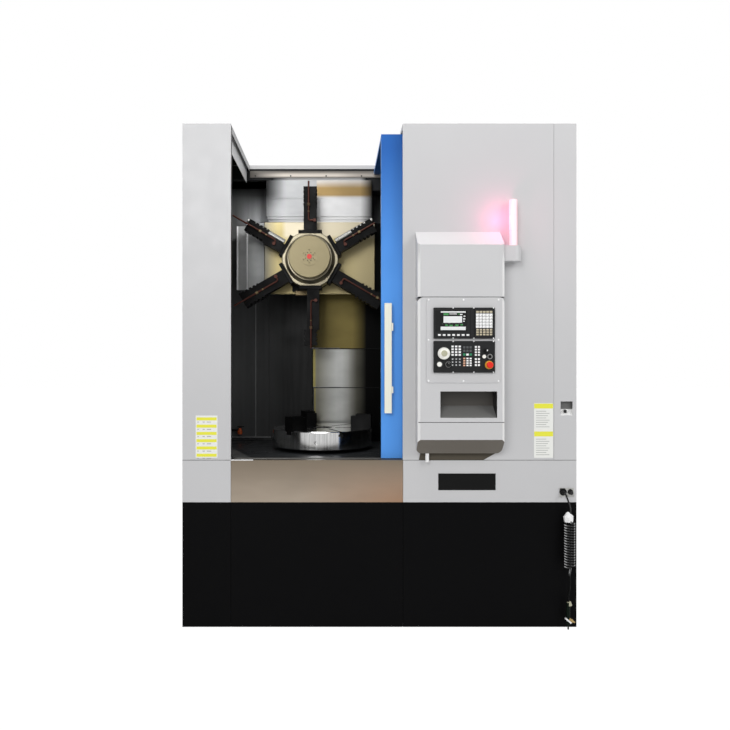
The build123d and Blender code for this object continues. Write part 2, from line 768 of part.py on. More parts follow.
# Spindle housing, a flanged ring bored for the spindle nose
SPINDLE_PLANE = Plane((CHUCK_X, CHUCK_Y, BED_TOP))
with BuildPart() as spindle_housing:
    with BuildSketch(SPINDLE_PLANE):
        Circle(HOUSING_RADIUS)
        Circle(NOSE_RADIUS + BORE_CLEARANCE, mode=Mode.SUBTRACT)
    extrude(amount=HOUSING_TOP - BED_TOP)
    rim = spindle_housing.edges().filter_by(GeomType.CIRCLE).group_by(Axis.Z)[-1].sort_by(SortBy.RADIUS)[-1]
    chamfer(rim, length=HOUSING_CHAMFER)
save("spindle_housing", spindle_housing.part)

# Pendant hood with its sloping top
PENDANT_FRONT_Y = FRONT_Y - PENDANT_PROUD
PENDANT_WIDTH = PENDANT_RIGHT_X - PENDANT_LEFT_X
with BuildPart() as pendant_hood:
    with BuildSketch(Plane.YZ.offset(PENDANT_LEFT_X)) as hood_profile:
        with BuildLine():
            Polyline(
                (FRONT_Y, HOOD_BOTTOM),
                (FRONT_Y, HOOD_TOP),
                (PENDANT_FRONT_Y, HOOD_FRONT_TOP),
                (PENDANT_FRONT_Y, HOOD_BOTTOM),
                close=True,
            )
        make_face()
    extrude(amount=PENDANT_WIDTH)
    uprights = pendant_hood.edges().filter_by(Axis.Z).group_by(Axis.Y)[0]
    chamfer(uprights, length=PENDANT_CHAMFER)
save("pendant_hood", pendant_hood.part)

# Pendant box with the open pocket, the foot below the joint and its sloping underside
with BuildPart() as pendant_box:
    with BuildSketch(Plane.YZ.offset(PENDANT_LEFT_X)) as box_profile:
        with BuildLine():
            Polyline(
                (FRONT_Y, BOX_TOP),
                (PENDANT_FRONT_Y, BOX_TOP),
                (PENDANT_FRONT_Y, FOOT_FRONT_BOTTOM),
                (FRONT_Y - FOOT_REAR_PROUD, FOOT_BOTTOM),
                (FRONT_Y, FOOT_BOTTOM),
                close=True,
            )
        make_face()
    extrude(amount=PENDANT_WIDTH)
    uprights = pendant_box.edges().filter_by(Axis.Z).group_by(Axis.Y)[0]
    chamfer(uprights, length=PENDANT_CHAMFER)
    with BuildSketch(Plane.XZ.offset(-FRONT_Y)):
        with Locations(((PENDANT_LEFT_X + PENDANT_RIGHT_X) / 2, FOOT_BOTTOM)):
            with Locations((0, (BOX_TOP - FOOT_BOTTOM) / 2)):
                Rectangle(PENDANT_WIDTH, BOX_TOP - FOOT_BOTTOM)
        fillet(vertices().group_by(Axis.Z)[0], radius=FOOT_ROUND)
    extrude(amount=PENDANT_PROUD, mode=Mode.INTERSECT)
    with BuildSketch(Plane.YZ.offset(POCKET_LEFT_X)) as pocket_profile:
        with BuildLine():
            Polyline(
                (PENDANT_FRONT_Y, POCKET_BOTTOM),
                (PENDANT_FRONT_Y, POCKET_TOP),
                (PENDANT_FRONT_Y + POCKET_DEPTH, POCKET_TOP),
                (PENDANT_FRONT_Y + POCKET_DEPTH, POCKET_BACK_BOTTOM),
                close=True,
            )
        make_face()
    extrude(amount=POCKET_RIGHT_X - POCKET_LEFT_X, mode=Mode.SUBTRACT)
    with Locations(((PENDANT_LEFT_X + PENDANT_RIGHT_X) / 2, PENDANT_FRONT_Y, FOOT_JOINT)):
        Box(PENDANT_WIDTH, 2 * GROOVE, GROOVE, mode=Mode.SUBTRACT)
    with Locations((GLAND_X, FRONT_Y - 2 * GLAND_RADIUS, FOOT_BOTTOM)):
        Cylinder(GLAND_RADIUS, FOOT_BOTTOM - GLAND_BOTTOM, align=(Align.CENTER, Align.CENTER, Align.MAX))
save("pendant_box", pendant_box.part)

# Plate round the controls
with BuildPart() as control_plate:
    with BuildSketch(Plane.XZ.offset(-PENDANT_FRONT_Y)):
        with Locations(((CONTROL_LEFT_X + CONTROL_RIGHT_X) / 2, (CONTROL_BOTTOM + CONTROL_TOP) / 2)):
            RectangleRounded(CONTROL_RIGHT_X - CONTROL_LEFT_X, CONTROL_TOP - CONTROL_BOTTOM, PLATE_CORNER)
    extrude(amount=PLATE_PROUD)
save("control_plate", control_plate.part)

UNIT_PLANE = Plane.XZ.offset(PLATE_PROUD - PENDANT_FRONT_Y)
UNIT_FACE_PLANE = Plane.XZ.offset(PLATE_PROUD + UNIT_PROUD - PENDANT_FRONT_Y)


def unit_block(bottom, top):
    """Black control unit that stands on the control plate"""
    with BuildPart(mode=Mode.PRIVATE) as block:
        with BuildSketch(UNIT_PLANE):
            with Locations(((UNIT_LEFT_X + UNIT_RIGHT_X) / 2, (bottom + top) / 2)):
                RectangleRounded(UNIT_RIGHT_X - UNIT_LEFT_X, top - bottom, UNIT_CORNER)
        extrude(amount=UNIT_PROUD)
    return block.part


# Screen unit with the display set back in its bezel
with BuildPart() as screen_unit:
    add(unit_block(SCREEN_BOTTOM, SCREEN_TOP))
    with BuildSketch(UNIT_FACE_PLANE):
        with Locations((LCD_X, LCD_Z)):
            RectangleRounded(LCD_WIDTH, LCD_HEIGHT, LCD_CORNER)
    extrude(amount=-LCD_RECESS, mode=Mode.SUBTRACT)
save("screen_unit", screen_unit.part)

# Operator panel bored for the shafts of the handwheel, the knob and the stop button
SHAFT_DEPTH = UNIT_PROUD - END_GAP
with BuildPart() as operator_panel:
    add(unit_block(PANEL_BOTTOM, PANEL_TOP))
    with BuildSketch(UNIT_FACE_PLANE):
        with Locations((STOP_X, STOP_Z)):
            Circle(COLLAR_RADIUS)
    extrude(amount=COLLAR_HEIGHT)
    with BuildSketch(UNIT_FACE_PLANE.offset(COLLAR_HEIGHT)):
        with Locations((WHEEL_X, WHEEL_Z), (KNOB_X, KNOB_Z), (STOP_X, STOP_Z)):
            Circle(STEM_RADIUS + BORE_CLEARANCE)
    extrude(amount=-SHAFT_DEPTH - COLLAR_HEIGHT, mode=Mode.SUBTRACT)
save("operator_panel", operator_panel.part)


def turned_control(x, z, radius, height, lift, stem):
    """Round control with a stem that sits in the panel's bore"""
    with BuildPart(mode=Mode.PRIVATE) as control:
        with BuildSketch(UNIT_FACE_PLANE.offset(lift)):
            with Locations((x, z)):
                Circle(radius)
        extrude(amount=height)
        with BuildSketch(UNIT_FACE_PLANE.offset(lift)):
            with Locations((x, z)):
                Circle(STEM_RADIUS)
        extrude(amount=-stem)
    return control.part


with BuildPart() as handwheel:
    add(turned_control(WHEEL_X, WHEEL_Z, WHEEL_RADIUS, WHEEL_HEIGHT, RUN_GAP, SHAFT_DEPTH - TIP_GAP))
    with BuildSketch(UNIT_FACE_PLANE.offset(RUN_GAP + WHEEL_HEIGHT)):
        with Locations((WHEEL_X, WHEEL_Z)):
            Circle(WHEEL_RADIUS / 2)
        with Locations((WHEEL_X + SPINNER_OFFSET, WHEEL_Z + SPINNER_RISE)):
            Circle(SPINNER_RADIUS)
    extrude(amount=WHEEL_HEIGHT / 2)
save("handwheel", handwheel.part)

with BuildPart() as override_knob:
    add(turned_control(KNOB_X, KNOB_Z, KNOB_RADIUS, KNOB_HEIGHT, RUN_GAP, SHAFT_DEPTH - TIP_GAP))
    with BuildSketch(UNIT_FACE_PLANE.offset(RUN_GAP + KNOB_HEIGHT)):
        with Locations((KNOB_X, KNOB_Z)):
            Rectangle(KNOB_BAR, 2 * KNOB_RADIUS - 2 * KNOB_BAR_INSET)
    extrude(amount=KNOB_BAR_PROUD)
save("override_knob", override_knob.part)

STOP_LIFT = COLLAR_HEIGHT + STOP_TRAVEL + TIP_GAP
with BuildPart() as emergency_stop:
    stop_stem = STOP_LIFT + SHAFT_DEPTH - STOP_TRAVEL - TIP_GAP
    add(turned_control(STOP_X, STOP_Z, STOP_RADIUS, STOP_HEIGHT, STOP_LIFT, stop_stem))
    crown = emergency_stop.edges().filter_by(GeomType.CIRCLE).sort_by(Axis.Y)[0]
    fillet(crown, radius=STOP_ROUND)
save("emergency_stop", emergency_stop.part)

# Bracket and stack light beside the pendant
BRACKET_MID_Y = FRONT_Y - BRACKET_PROUD / 2
with BuildPart() as stack_bracket:
    with BuildSketch(Plane.XY.offset(BRACKET_BOTTOM)) as bracket_outline:
        with BuildLine():
            end_x = BRACKET_RIGHT_X - BRACKET_PROUD / 2
            Polyline(
                (end_x, FRONT_Y),
                (PENDANT_RIGHT_X, FRONT_Y),
                (PENDANT_RIGHT_X, FRONT_Y - BRACKET_PROUD),
                (end_x, FRONT_Y - BRACKET_PROUD),
            )
            ThreePointArc((end_x, FRONT_Y - BRACKET_PROUD), (BRACKET_RIGHT_X, BRACKET_MID_Y), (end_x, FRONT_Y))
        make_face()
    extrude(amount=BRACKET_TOP - BRACKET_BOTTOM)
save("stack_bracket", stack_bracket.part)

with BuildPart() as stack_light:
    section_height = (LIGHT_TOP - BRACKET_TOP) / LIGHT_SECTIONS
    for section in range(LIGHT_SECTIONS):
        with BuildSketch(Plane.XY.offset(BRACKET_TOP + section * section_height)):
            with Locations((LIGHT_X, BRACKET_MID_Y)):
                Circle(LIGHT_RADIUS)
        extrude(amount=section_height - LIGHT_GROOVE)
        with BuildSketch(Plane.XY.offset(BRACKET_TOP + (section + 1) * section_height - LIGHT_GROOVE)):
            with Locations((LIGHT_X, BRACKET_MID_Y)):
                Circle(LIGHT_RADIUS - LIGHT_GROOVE_DEPTH)
        extrude(amount=LIGHT_GROOVE)
save("stack_light", stack_light.part)

# Latch recess: a pressed pocket behind the corner panel with a round lock
with BuildPart() as latch:
    with BuildSketch(Plane.YZ.offset(LATCH_LEFT_X - SHEET)) as latch_profile:
        with BuildLine():
            Polyline(
                (FRONT_Y + SHEET, LATCH_BOTTOM - SHEET),
                (FRONT_Y + SHEET, LATCH_TOP + SHEET),
                (FRONT_Y + LATCH_DEPTH + SHEET, LATCH_TOP + SHEET),
                (FRONT_Y + LATCH_DEPTH + SHEET, LATCH_BOTTOM + LATCH_DEPTH),
                (FRONT_Y + 2 * SHEET, LATCH_BOTTOM - SHEET),
                close=True,
            )
        make_face()
    extrude(amount=LATCH_RIGHT_X - LATCH_LEFT_X + 2 * SHEET)
    offset(amount=-SHEET, openings=latch.faces().sort_by(Axis.Y)[0])
    with BuildSketch(Plane.XZ.offset(-FRONT_Y)):
        with Locations((LOCK_X, LOCK_Z)):
            Circle(LOCK_RADIUS)
    extrude(amount=-LATCH_DEPTH - SHEET)
save("latch", latch.part)

# Air socket plate with two round fittings
SOCKET_MID_Z = (SOCKET_BOTTOM + SOCKET_TOP) / 2
with BuildPart() as air_socket:
    corner_box(
        (SOCKET_LEFT_X, FRONT_Y - SOCKET_THICK, SOCKET_BOTTOM), (SOCKET_RIGHT_X, FRONT_Y, SOCKET_TOP)
    )
    with BuildSketch(Plane.XZ.offset(SOCKET_THICK - FRONT_Y)):
        with Locations((FITTING_X, SOCKET_MID_Z), (FITTING_X + FITTING_PITCH, SOCKET_MID_Z)):
            Circle(FITTING_RADIUS)
    extrude(amount=FITTING_LENGTH)
save("air_socket", air_socket.part)


def hose_tube(route, name):
    """Tube of straight runs joined by the largest tangent arcs that its runs allow"""
    points = [Vector(*p) for p in route]
    radii = []
    for before, corner, after in zip(points, points[1:], points[2:]):
        turn = (corner - before).get_angle(after - corner)
        run = min((corner - before).length, (after - corner).length)
        radii.append(0.45 * run / tan(radians(turn / 2)))
    print(name, "radii", [round(r) for r in radii])
    with BuildPart(mode=Mode.PRIVATE) as tube:
        with BuildLine() as path:
            FilletPolyline(*route, radius=radii)
        run = path.wires()[0]
        with BuildSketch(Plane(origin=run @ 0, z_dir=run % 0)):
            Circle(HOSE_RADIUS)
        sweep(path=run)
    print(name, "length", round(run.length), "volume", round(tube.part.volume))
    return tube.part


# Hose lead, the curly length as one fat tube, and the tail
save("air_hose_lead", hose_tube(LEAD_ROUTE, "lead"))

with BuildPart() as air_hose_coil:
    with Locations((COIL_X, COIL_Y, COIL_BOTTOM)):
        Cylinder(COIL_RADIUS, COIL_TOP - COIL_BOTTOM, align=(Align.CENTER, Align.CENTER, Align.MIN))
save("air_hose_coil", air_hose_coil.part)

save("air_hose_tail", hose_tube(TAIL_ROUTE, "tail"))

# Air gun hanging nose down
GUN_TOP = TAIL_ROUTE[-1]
with BuildPart() as air_gun:
    with BuildSketch(Plane(origin=GUN_TOP, x_dir=(1, 0, 0), z_dir=(0, 0, -1))):
        Circle(GUN_RADIUS)
    extrude(amount=GUN_LENGTH)
    with BuildSketch(Plane(origin=(GUN_TOP[0], GUN_TOP[1], GUN_TOP[2] - GUN_LENGTH), z_dir=(0, 0, -1))):
        Circle(NOZZLE_RADIUS)
    extrude(amount=NOZZLE_LENGTH)
save("air_gun", air_gun.part)

# Door: a folded front panel with a window, and a lid that reaches back over the chamber
DOOR_RIGHT_X = DOOR_LEFT_X + DOOR_WIDTH
DOOR_FRONT_Y = FRONT_Y + DOOR_FRONT_GAP
WINDOW_X = DOOR_LEFT_X + DOOR_WIDTH / 2
with BuildPart() as door_panel:
    add(
        folded_panel(
            (DOOR_LEFT_X, DOOR_FRONT_Y, DOOR_BOTTOM),
            (DOOR_RIGHT_X, DOOR_BACK_Y, DOOR_TOP),
            (Axis.Y, -1),
            DOOR_SHEET,
        )
    )
    with BuildSketch(Plane.XZ.offset(-DOOR_FRONT_Y)):
        with Locations((WINDOW_X, WINDOW_CENTRE_Z)):
            RectangleRounded(WINDOW_WIDTH, WINDOW_HEIGHT, WINDOW_CORNER)
    extrude(amount=-DOOR_THICK, mode=Mode.SUBTRACT)
save("door_panel", door_panel.part)

LID_BACK_Y = BEAM_Y - RAIL_THICK - RUN_GAP
with BuildPart() as door_lid:
    add(
        folded_panel(
            (DOOR_LEFT_X, DOOR_BACK_Y, DOOR_TOP - DOOR_LID_THICK),
            (DOOR_RIGHT_X, LID_BACK_Y - SHOE_DEPTH, DOOR_TOP),
            (Axis.Z, -1),
            DOOR_SHEET,
        )
    )
    for shoe_x in (DOOR_LEFT_X + DOOR_RAIL_END, DOOR_RIGHT_X - DOOR_RAIL_END):
        with Locations((shoe_x, LID_BACK_Y, DOOR_TOP)):
            Box(SHOE_WIDTH, SHOE_DEPTH, DOOR_LID_THICK, align=(Align.CENTER, Align.MAX, Align.MAX))
save("door_lid", door_lid.part)

with BuildPart() as door_window:
    with BuildSketch(Plane.XZ.offset(-DOOR_FRONT_Y - DOOR_SHEET)):
        with Locations((WINDOW_X, WINDOW_CENTRE_Z)):
            RectangleRounded(WINDOW_WIDTH + WINDOW_FRAME, WINDOW_HEIGHT + WINDOW_FRAME, WINDOW_CORNER)
    extrude(amount=-GLASS_THICK)
save("door_window", door_window.part)

with BuildPart() as door_handle:
    corner_box(
        (HANDLE_X - HANDLE_WIDTH / 2, DOOR_FRONT_Y - HANDLE_REACH, HANDLE_BOTTOM),
        (HANDLE_X + HANDLE_WIDTH / 2, DOOR_FRONT_Y - HANDLE_REACH + HANDLE_THICK, HANDLE_TOP),
    )
    fillet(door_handle.edges().filter_by(Axis.Z), radius=HANDLE_ROUND)
    for foot_z in (HANDLE_BOTTOM + HANDLE_FOOT, HANDLE_TOP - HANDLE_FOOT):
        with Locations((HANDLE_X, DOOR_FRONT_Y, foot_z)):
            Box(
                HANDLE_WIDTH - 2 * HANDLE_FOOT_INSET,
                HANDLE_REACH - HANDLE_THICK / 2,
                HANDLE_FOOT,
                align=(Align.CENTER, Align.MAX, Align.CENTER),
            )
save("door_handle", door_handle.part)

# Saddle: a wide beam with two cross ways, and trucks round the column's box ways
SADDLE_MID_Z = (SADDLE_BOTTOM + SADDLE_TOP) / 2
WAY_FRONT_Y = COLUMN_FRONT_Y - BOX_WAY_HEIGHT
TRUCK_BACK_Y = COLUMN_FRONT_Y - TRUCK_GAP
with BuildPart() as saddle:
    corner_box(
        (BEAM_LEFT_X + COVER_STEP, SADDLE_FRONT_Y + CROSS_WAY_THICK, SADDLE_BOTTOM),
        (BEAM_RIGHT_X - COVER_STEP, SADDLE_BEAM_BACK_Y, SADDLE_TOP),
    )
    for way_z in (SADDLE_BOTTOM + CROSS_WAY_DROP, SADDLE_TOP - CROSS_WAY_DROP):
        with Locations(((BEAM_LEFT_X + BEAM_RIGHT_X) / 2, SADDLE_FRONT_Y, way_z)):
            Box(
                BEAM_RIGHT_X - BEAM_LEFT_X - 4 * COVER_STEP,
                CROSS_WAY_THICK,
                CROSS_WAY_HEIGHT,
                align=(Align.CENTER, Align.MIN, Align.CENTER),
            )
    corner_box(
        (COLUMN_X - BOX_WAY_OFFSET - BOX_WAY_WIDTH, SADDLE_BEAM_BACK_Y, SADDLE_BOTTOM),
        (COLUMN_X + BOX_WAY_OFFSET + BOX_WAY_WIDTH - TRUCK_SHORT, TRUCK_BACK_Y, SADDLE_TOP),
    )
    for side in (-1, 1):
        with Locations((COLUMN_X + side * BOX_WAY_OFFSET, WAY_FRONT_Y - RUN_GAP, SADDLE_BOTTOM)):
            Box(
                BOX_WAY_WIDTH + 2 * RUN_GAP,
                DEPTH,
                SADDLE_TOP - SADDLE_BOTTOM,
                align=(Align.CENTER, Align.MIN, Align.MIN),
                mode=Mode.SUBTRACT,
            )
save("saddle", saddle.part)

# Way cover sections that ride on the saddle
with BuildPart() as lower_cover_top:
    add(
        channel_cover(
            LOWER_COVER_WIDTH,
            COLUMN_X,
            LOWER_COVER_Y,
            BACK_WALL_Y - SHEET - SEAM,
            LOWER_TOP_BOTTOM,
            SADDLE_BOTTOM,
            LOWER_TOP_BOTTOM,
            LIP_REACH,
        )
    )
    with Locations((COLUMN_X, LOWER_COVER_Y, SADDLE_BOTTOM - COVER_BAND_DROP)):
        Box(
            LOWER_COVER_WIDTH,
            COVER_BAND_PROUD,
            COVER_BAND_HEIGHT,
            align=(Align.CENTER, Align.MAX, Align.MIN),
        )
save("lower_cover_top", lower_cover_top.part)

UPPER_LOW_Y = UPPER_COVER_Y + 2 * COVER_STEP
UPPER_BACK_Y = BEAM_Y - MOVE_GAP
UPPER_FOOT_Z = SADDLE_TOP + UPPER_FOOT_LIFT
UPPER_LOW_HALF = UPPER_COVER_WIDTH / 2 - 2 * COVER_STEP - COVER_SHEET
UPPER_FOOT_LEFT_X = UPPER_COVER_X - UPPER_LOW_HALF
UPPER_FOOT_RIGHT_X = UPPER_COVER_X + UPPER_LOW_HALF
with BuildPart() as upper_cover_low:
    add(
        channel_cover(
            UPPER_COVER_WIDTH - 4 * COVER_STEP,
            UPPER_COVER_X,
            UPPER_LOW_Y,
            UPPER_BACK_Y,
            UPPER_FOOT_Z,
            UPPER_LOW_TOP,
            0,
            0,
        )
    )
    corner_box(
        (UPPER_FOOT_LEFT_X, UPPER_LOW_Y + COVER_SHEET, UPPER_FOOT_Z),
        (UPPER_FOOT_RIGHT_X, SADDLE_BEAM_BACK_Y, UPPER_FOOT_Z + COVER_SHEET),
    )
    corner_box(
        (UPPER_FOOT_LEFT_X, SADDLE_FRONT_Y + 4 * CROSS_WAY_THICK, SADDLE_TOP),
        (UPPER_FOOT_RIGHT_X, SADDLE_BEAM_BACK_Y, UPPER_FOOT_Z),
    )
save("upper_cover_low", upper_cover_low.part)

# Middle sections, which travel half as far
with BuildPart() as lower_cover_mid:
    add(
        channel_cover(
            LOWER_COVER_WIDTH - 2 * COVER_STEP,
            COLUMN_X,
            LOWER_COVER_Y + COVER_STEP,
            BACK_WALL_Y - SHEET - SEAM,
            LOWER_MID_BOTTOM,
            LOWER_MID_TOP,
            LOWER_MID_BOTTOM,
            LIP_REACH,
        )
    )
save("lower_cover_mid", lower_cover_mid.part)

with BuildPart() as upper_cover_mid:
    add(
        channel_cover(
            UPPER_COVER_WIDTH - 2 * COVER_STEP,
            UPPER_COVER_X,
            UPPER_COVER_Y + COVER_STEP,
            UPPER_BACK_Y,
            UPPER_MID_BOTTOM,
            UPPER_MID_TOP,
            UPPER_MID_BOTTOM,
            LIP_REACH,
        )
    )
save("upper_cover_mid", upper_cover_mid.part)


def cross_cover(left, right, front, back, height, lip_x=None):
    """Cross way cover: a channel on its side, open towards the saddle, with a wiper lip at one end"""
    with BuildPart(mode=Mode.PRIVATE) as cover:
        with BuildSketch(Plane.YZ.offset(left)):
            with Locations(((front + back) / 2, SADDLE_MID_Z)):
                Rectangle(back - front, height)
            with Locations(((front + COVER_SHEET + back) / 2, SADDLE_MID_Z)):
                Rectangle(back - front - COVER_SHEET, height - 2 * COVER_SHEET, mode=Mode.SUBTRACT)
        extrude(amount=right - left)
        if lip_x is not None:
            with Locations((lip_x, front + COVER_SHEET, SADDLE_MID_Z)):
                Box(
                    LIP_HEIGHT,
                    LIP_REACH,
                    height - 2 * COVER_SHEET,
                    align=(Align.MIN, Align.MIN, Align.CENTER),
                )
    return cover.part


CROSS_MID_Y = PLATE_BACK_Y + MOVE_GAP
CROSS_END_Y = CROSS_MID_Y + COVER_STEP
CROSS_BACK_Y = SADDLE_FRONT_Y + 3 * CROSS_WAY_THICK
CROSS_END_HEIGHT = SADDLE_TOP - SADDLE_BOTTOM + 2 * COVER_SHEET
with BuildPart() as cross_cover_ends:
    add(cross_cover(BEAM_LEFT_X, LEFT_END_INNER_X, CROSS_END_Y, CROSS_BACK_Y, CROSS_END_HEIGHT))
    add(cross_cover(RIGHT_END_INNER_X, BEAM_RIGHT_X, CROSS_END_Y, CROSS_BACK_Y, CROSS_END_HEIGHT))
save("cross_cover_ends", cross_cover_ends.part)

with BuildPart() as cross_cover_left:
    add(
        cross_cover(
            LEFT_MID_OUTER_X,
            LEFT_MID_INNER_X,
            CROSS_MID_Y,
            CROSS_BACK_Y,
            CROSS_MID_HEIGHT,
            LEFT_MID_OUTER_X,
        )
    )
save("cross_cover_left", cross_cover_left.part)

with BuildPart() as cross_cover_right:
    add(
        cross_cover(
            RIGHT_MID_INNER_X,
            RIGHT_MID_OUTER_X,
            CROSS_MID_Y,
            CROSS_BACK_Y,
            CROSS_MID_HEIGHT,
            RIGHT_MID_OUTER_X - LIP_HEIGHT,
        )
    )
save("cross_cover_right", cross_cover_right.part)

# Cross slide: the front plate and the carriage behind it
with BuildPart() as cross_slide:
    corner_box(
        (PLATE_LEFT_X, PLATE_BACK_Y - PLATE_THICK, PLATE_BOTTOM), (PLATE_RIGHT_X, PLATE_BACK_Y, PLATE_TOP)
    )
    chamfer(cross_slide.edges().group_by(Axis.Y)[0], length=PLATE_CHAMFER)
    with Locations(((CARRIAGE_LEFT_X + CARRIAGE_RIGHT_X) / 2, PLATE_BACK_Y, SADDLE_MID_Z)):
        Box(
            CARRIAGE_RIGHT_X - CARRIAGE_LEFT_X,
            SADDLE_FRONT_Y - RUN_GAP - PLATE_BACK_Y,
            CARRIAGE_HEIGHT,
            align=(Align.CENTER, Align.MIN, Align.CENTER),
        )
save("cross_slide", cross_slide.part)

# Turret housing with the bore for the turret shaft
TURRET_PLANE = Plane(origin=(TURRET_X, 0, TURRET_Z), x_dir=(1, 0, 0), z_dir=(0, -1, 0))
TURRET_BACK_Y = TURRET_FRONT_Y + TURRET_THICK
PLATE_FRONT_Y = PLATE_BACK_Y - PLATE_THICK
with BuildPart() as turret_housing:
    with BuildSketch(TURRET_PLANE.offset(-PLATE_FRONT_Y)):
        Circle(HOUSING_FLANGE_RADIUS)
    extrude(amount=HOUSING_FLANGE)
    with BuildSketch(TURRET_PLANE.offset(-PLATE_FRONT_Y + HOUSING_FLANGE)):
        Circle(HOUSING_BARREL_RADIUS)
    extrude(amount=PLATE_FRONT_Y - TURRET_BACK_Y - HOUSING_FLANGE - RUN_GAP)
    with BuildSketch(TURRET_PLANE.offset(-TURRET_BACK_Y)):
        Circle(SHAFT_RADIUS + BORE_CLEARANCE)
    extrude(amount=-SHAFT_LENGTH - 1, mode=Mode.SUBTRACT)
save("turret_housing", turret_housing.part)

# Turret disc: a hexagon with cut corners, its shaft behind and a round boss in front
with BuildPart() as turret_disc:
    with BuildSketch(TURRET_PLANE.offset(-TURRET_BACK_Y)):
        RegularPolygon(TURRET_FLATS / 2, HOLDER_COUNT, major_radius=False)
        Circle(TURRET_CORNERS / 2, mode=Mode.INTERSECT)
    extrude(amount=TURRET_THICK)
    chamfer(turret_disc.edges().group_by(Axis.Y)[0], length=TURRET_RIM)
    with BuildSketch(TURRET_PLANE.offset(-TURRET_BACK_Y)):
        Circle(SHAFT_RADIUS)
    extrude(amount=-SHAFT_LENGTH)
    with BuildSketch(TURRET_PLANE.offset(-TURRET_FRONT_Y)):
        Circle(BOSS_RADIUS)
    with BuildSketch(TURRET_PLANE.offset(-TURRET_FRONT_Y + BOSS_LENGTH)):
        Circle(CAP_RADIUS + CAP_RIM)
    loft()
save("turret_disc", turret_disc.part)

CAP_FACE = TURRET_PLANE.offset(-TURRET_FRONT_Y + BOSS_LENGTH + CAP_LENGTH)
with BuildPart() as turret_cap:
    with BuildSketch(TURRET_PLANE.offset(-TURRET_FRONT_Y + BOSS_LENGTH)):
        Circle(CAP_RADIUS)
    extrude(amount=CAP_LENGTH)
    chamfer(turret_cap.edges().group_by(Axis.Y)[0], length=CAP_CHAMFER)
    with BuildSketch(CAP_FACE):
        Circle(CAP_DISC_RADIUS)
    extrude(amount=CAP_DISC_PROUD)
    with BuildSketch(CAP_FACE.offset(CAP_DISC_PROUD)):
        with PolarLocations(BOLT_CIRCLE, BOLT_COUNT, start_angle=90):
            Circle(BOLT_RADIUS)
    extrude(amount=-BOLT_DEPTH, mode=Mode.SUBTRACT)
    with BuildSketch(CAP_FACE.offset(CAP_DISC_PROUD)):
        Circle(HUB_RADIUS)
    extrude(amount=HUB_PROUD)
save("turret_cap", turret_cap.part)


def holder_plane(angle, reach):
    """Plane square to a turret flat, its normal pointing out, at a distance from the axis"""
    direction = (cos(radians(angle)), 0, sin(radians(angle)))
    axial_mid = TURRET_FRONT_Y + TURRET_THICK / 2
    origin = (TURRET_X + reach * direction[0], axial_mid, TURRET_Z + reach * direction[2])
    return Plane(origin=origin, x_dir=(-direction[2], 0, direction[0]), z_dir=direction)


FLAT = TURRET_FLATS / 2
FRONT_FACE = HOLDER_AXIAL / 2 - HOLDER_SETBACK


def holder_length(angle):
    """Length of the holder on one flat"""
    return next(row[1] for row in HOLDERS if row[0] == angle)


def bar_shape(angle, across):
    """Round tool bar along a holder, from near the flange to just past the clamp"""
    with BuildPart(mode=Mode.PRIVATE) as bar:
        with BuildSketch(holder_plane(angle, FLAT + BAR_START)):
            with Locations((across, FRONT_FACE - BAR_RADIUS - BAR_SETBACK)):
                Circle(BAR_RADIUS)
        extrude(amount=holder_length(angle) - BAR_START + BAR_PROUD)
    return bar.part


def holder_solid(angle, length, clamp_start, stem_x, stem_width, clamp_x, clamp_width):
    """Holder on one flat: a flange, a stem and a clamping end with notched sides"""
    depth = HOLDER_AXIAL - 2 * HOLDER_SETBACK
    with BuildPart(mode=Mode.PRIVATE) as holder:
        with BuildSketch(holder_plane(angle, FLAT)):
            Rectangle(HOLDER_FLANGE_WIDTH, HOLDER_AXIAL)
        extrude(amount=HOLDER_FLANGE)
        chamfer(holder.edges().group_by(Axis.Y)[0], length=FLANGE_CHAMFER)
        with BuildSketch(holder_plane(angle, FLAT + HOLDER_FLANGE)):
            with Locations((stem_x, 0)):
                Rectangle(stem_width, depth)
        extrude(amount=clamp_start - HOLDER_FLANGE)
        with BuildSketch(holder_plane(angle, FLAT + clamp_start)):
            with Locations((clamp_x, 0)):
                Rectangle(clamp_width, depth)
        extrude(amount=length - clamp_start)
        for step in range(NOTCH_COUNT):
            notch_start = clamp_start + NOTCH_START + step * NOTCH_PITCH
            if notch_start + NOTCH_WIDTH > length:
                continue
            with BuildSketch(holder_plane(angle, FLAT + notch_start)):
                for side in (-1, 1):
                    with Locations((clamp_x + side * clamp_width / 2, 0)):
                        Rectangle(2 * NOTCH_CUT, HOLDER_AXIAL)
            extrude(amount=NOTCH_WIDTH, mode=Mode.SUBTRACT)
        for bar_angle, across in BARS:
            if bar_angle == angle:
                add(bar_shape(angle, across), mode=Mode.SUBTRACT)
    return holder.part


# Tool holders, one on each flat of the disc
with BuildPart() as tool_holders:
    for row in HOLDERS:
        add(holder_solid(*row))
save("tool_holders", tool_holders.part)

# Round tool bars held in two of the holders
with BuildPart() as tool_bars:
    for row in BARS:
        add(bar_shape(*row))
save("tool_bars", tool_bars.part)


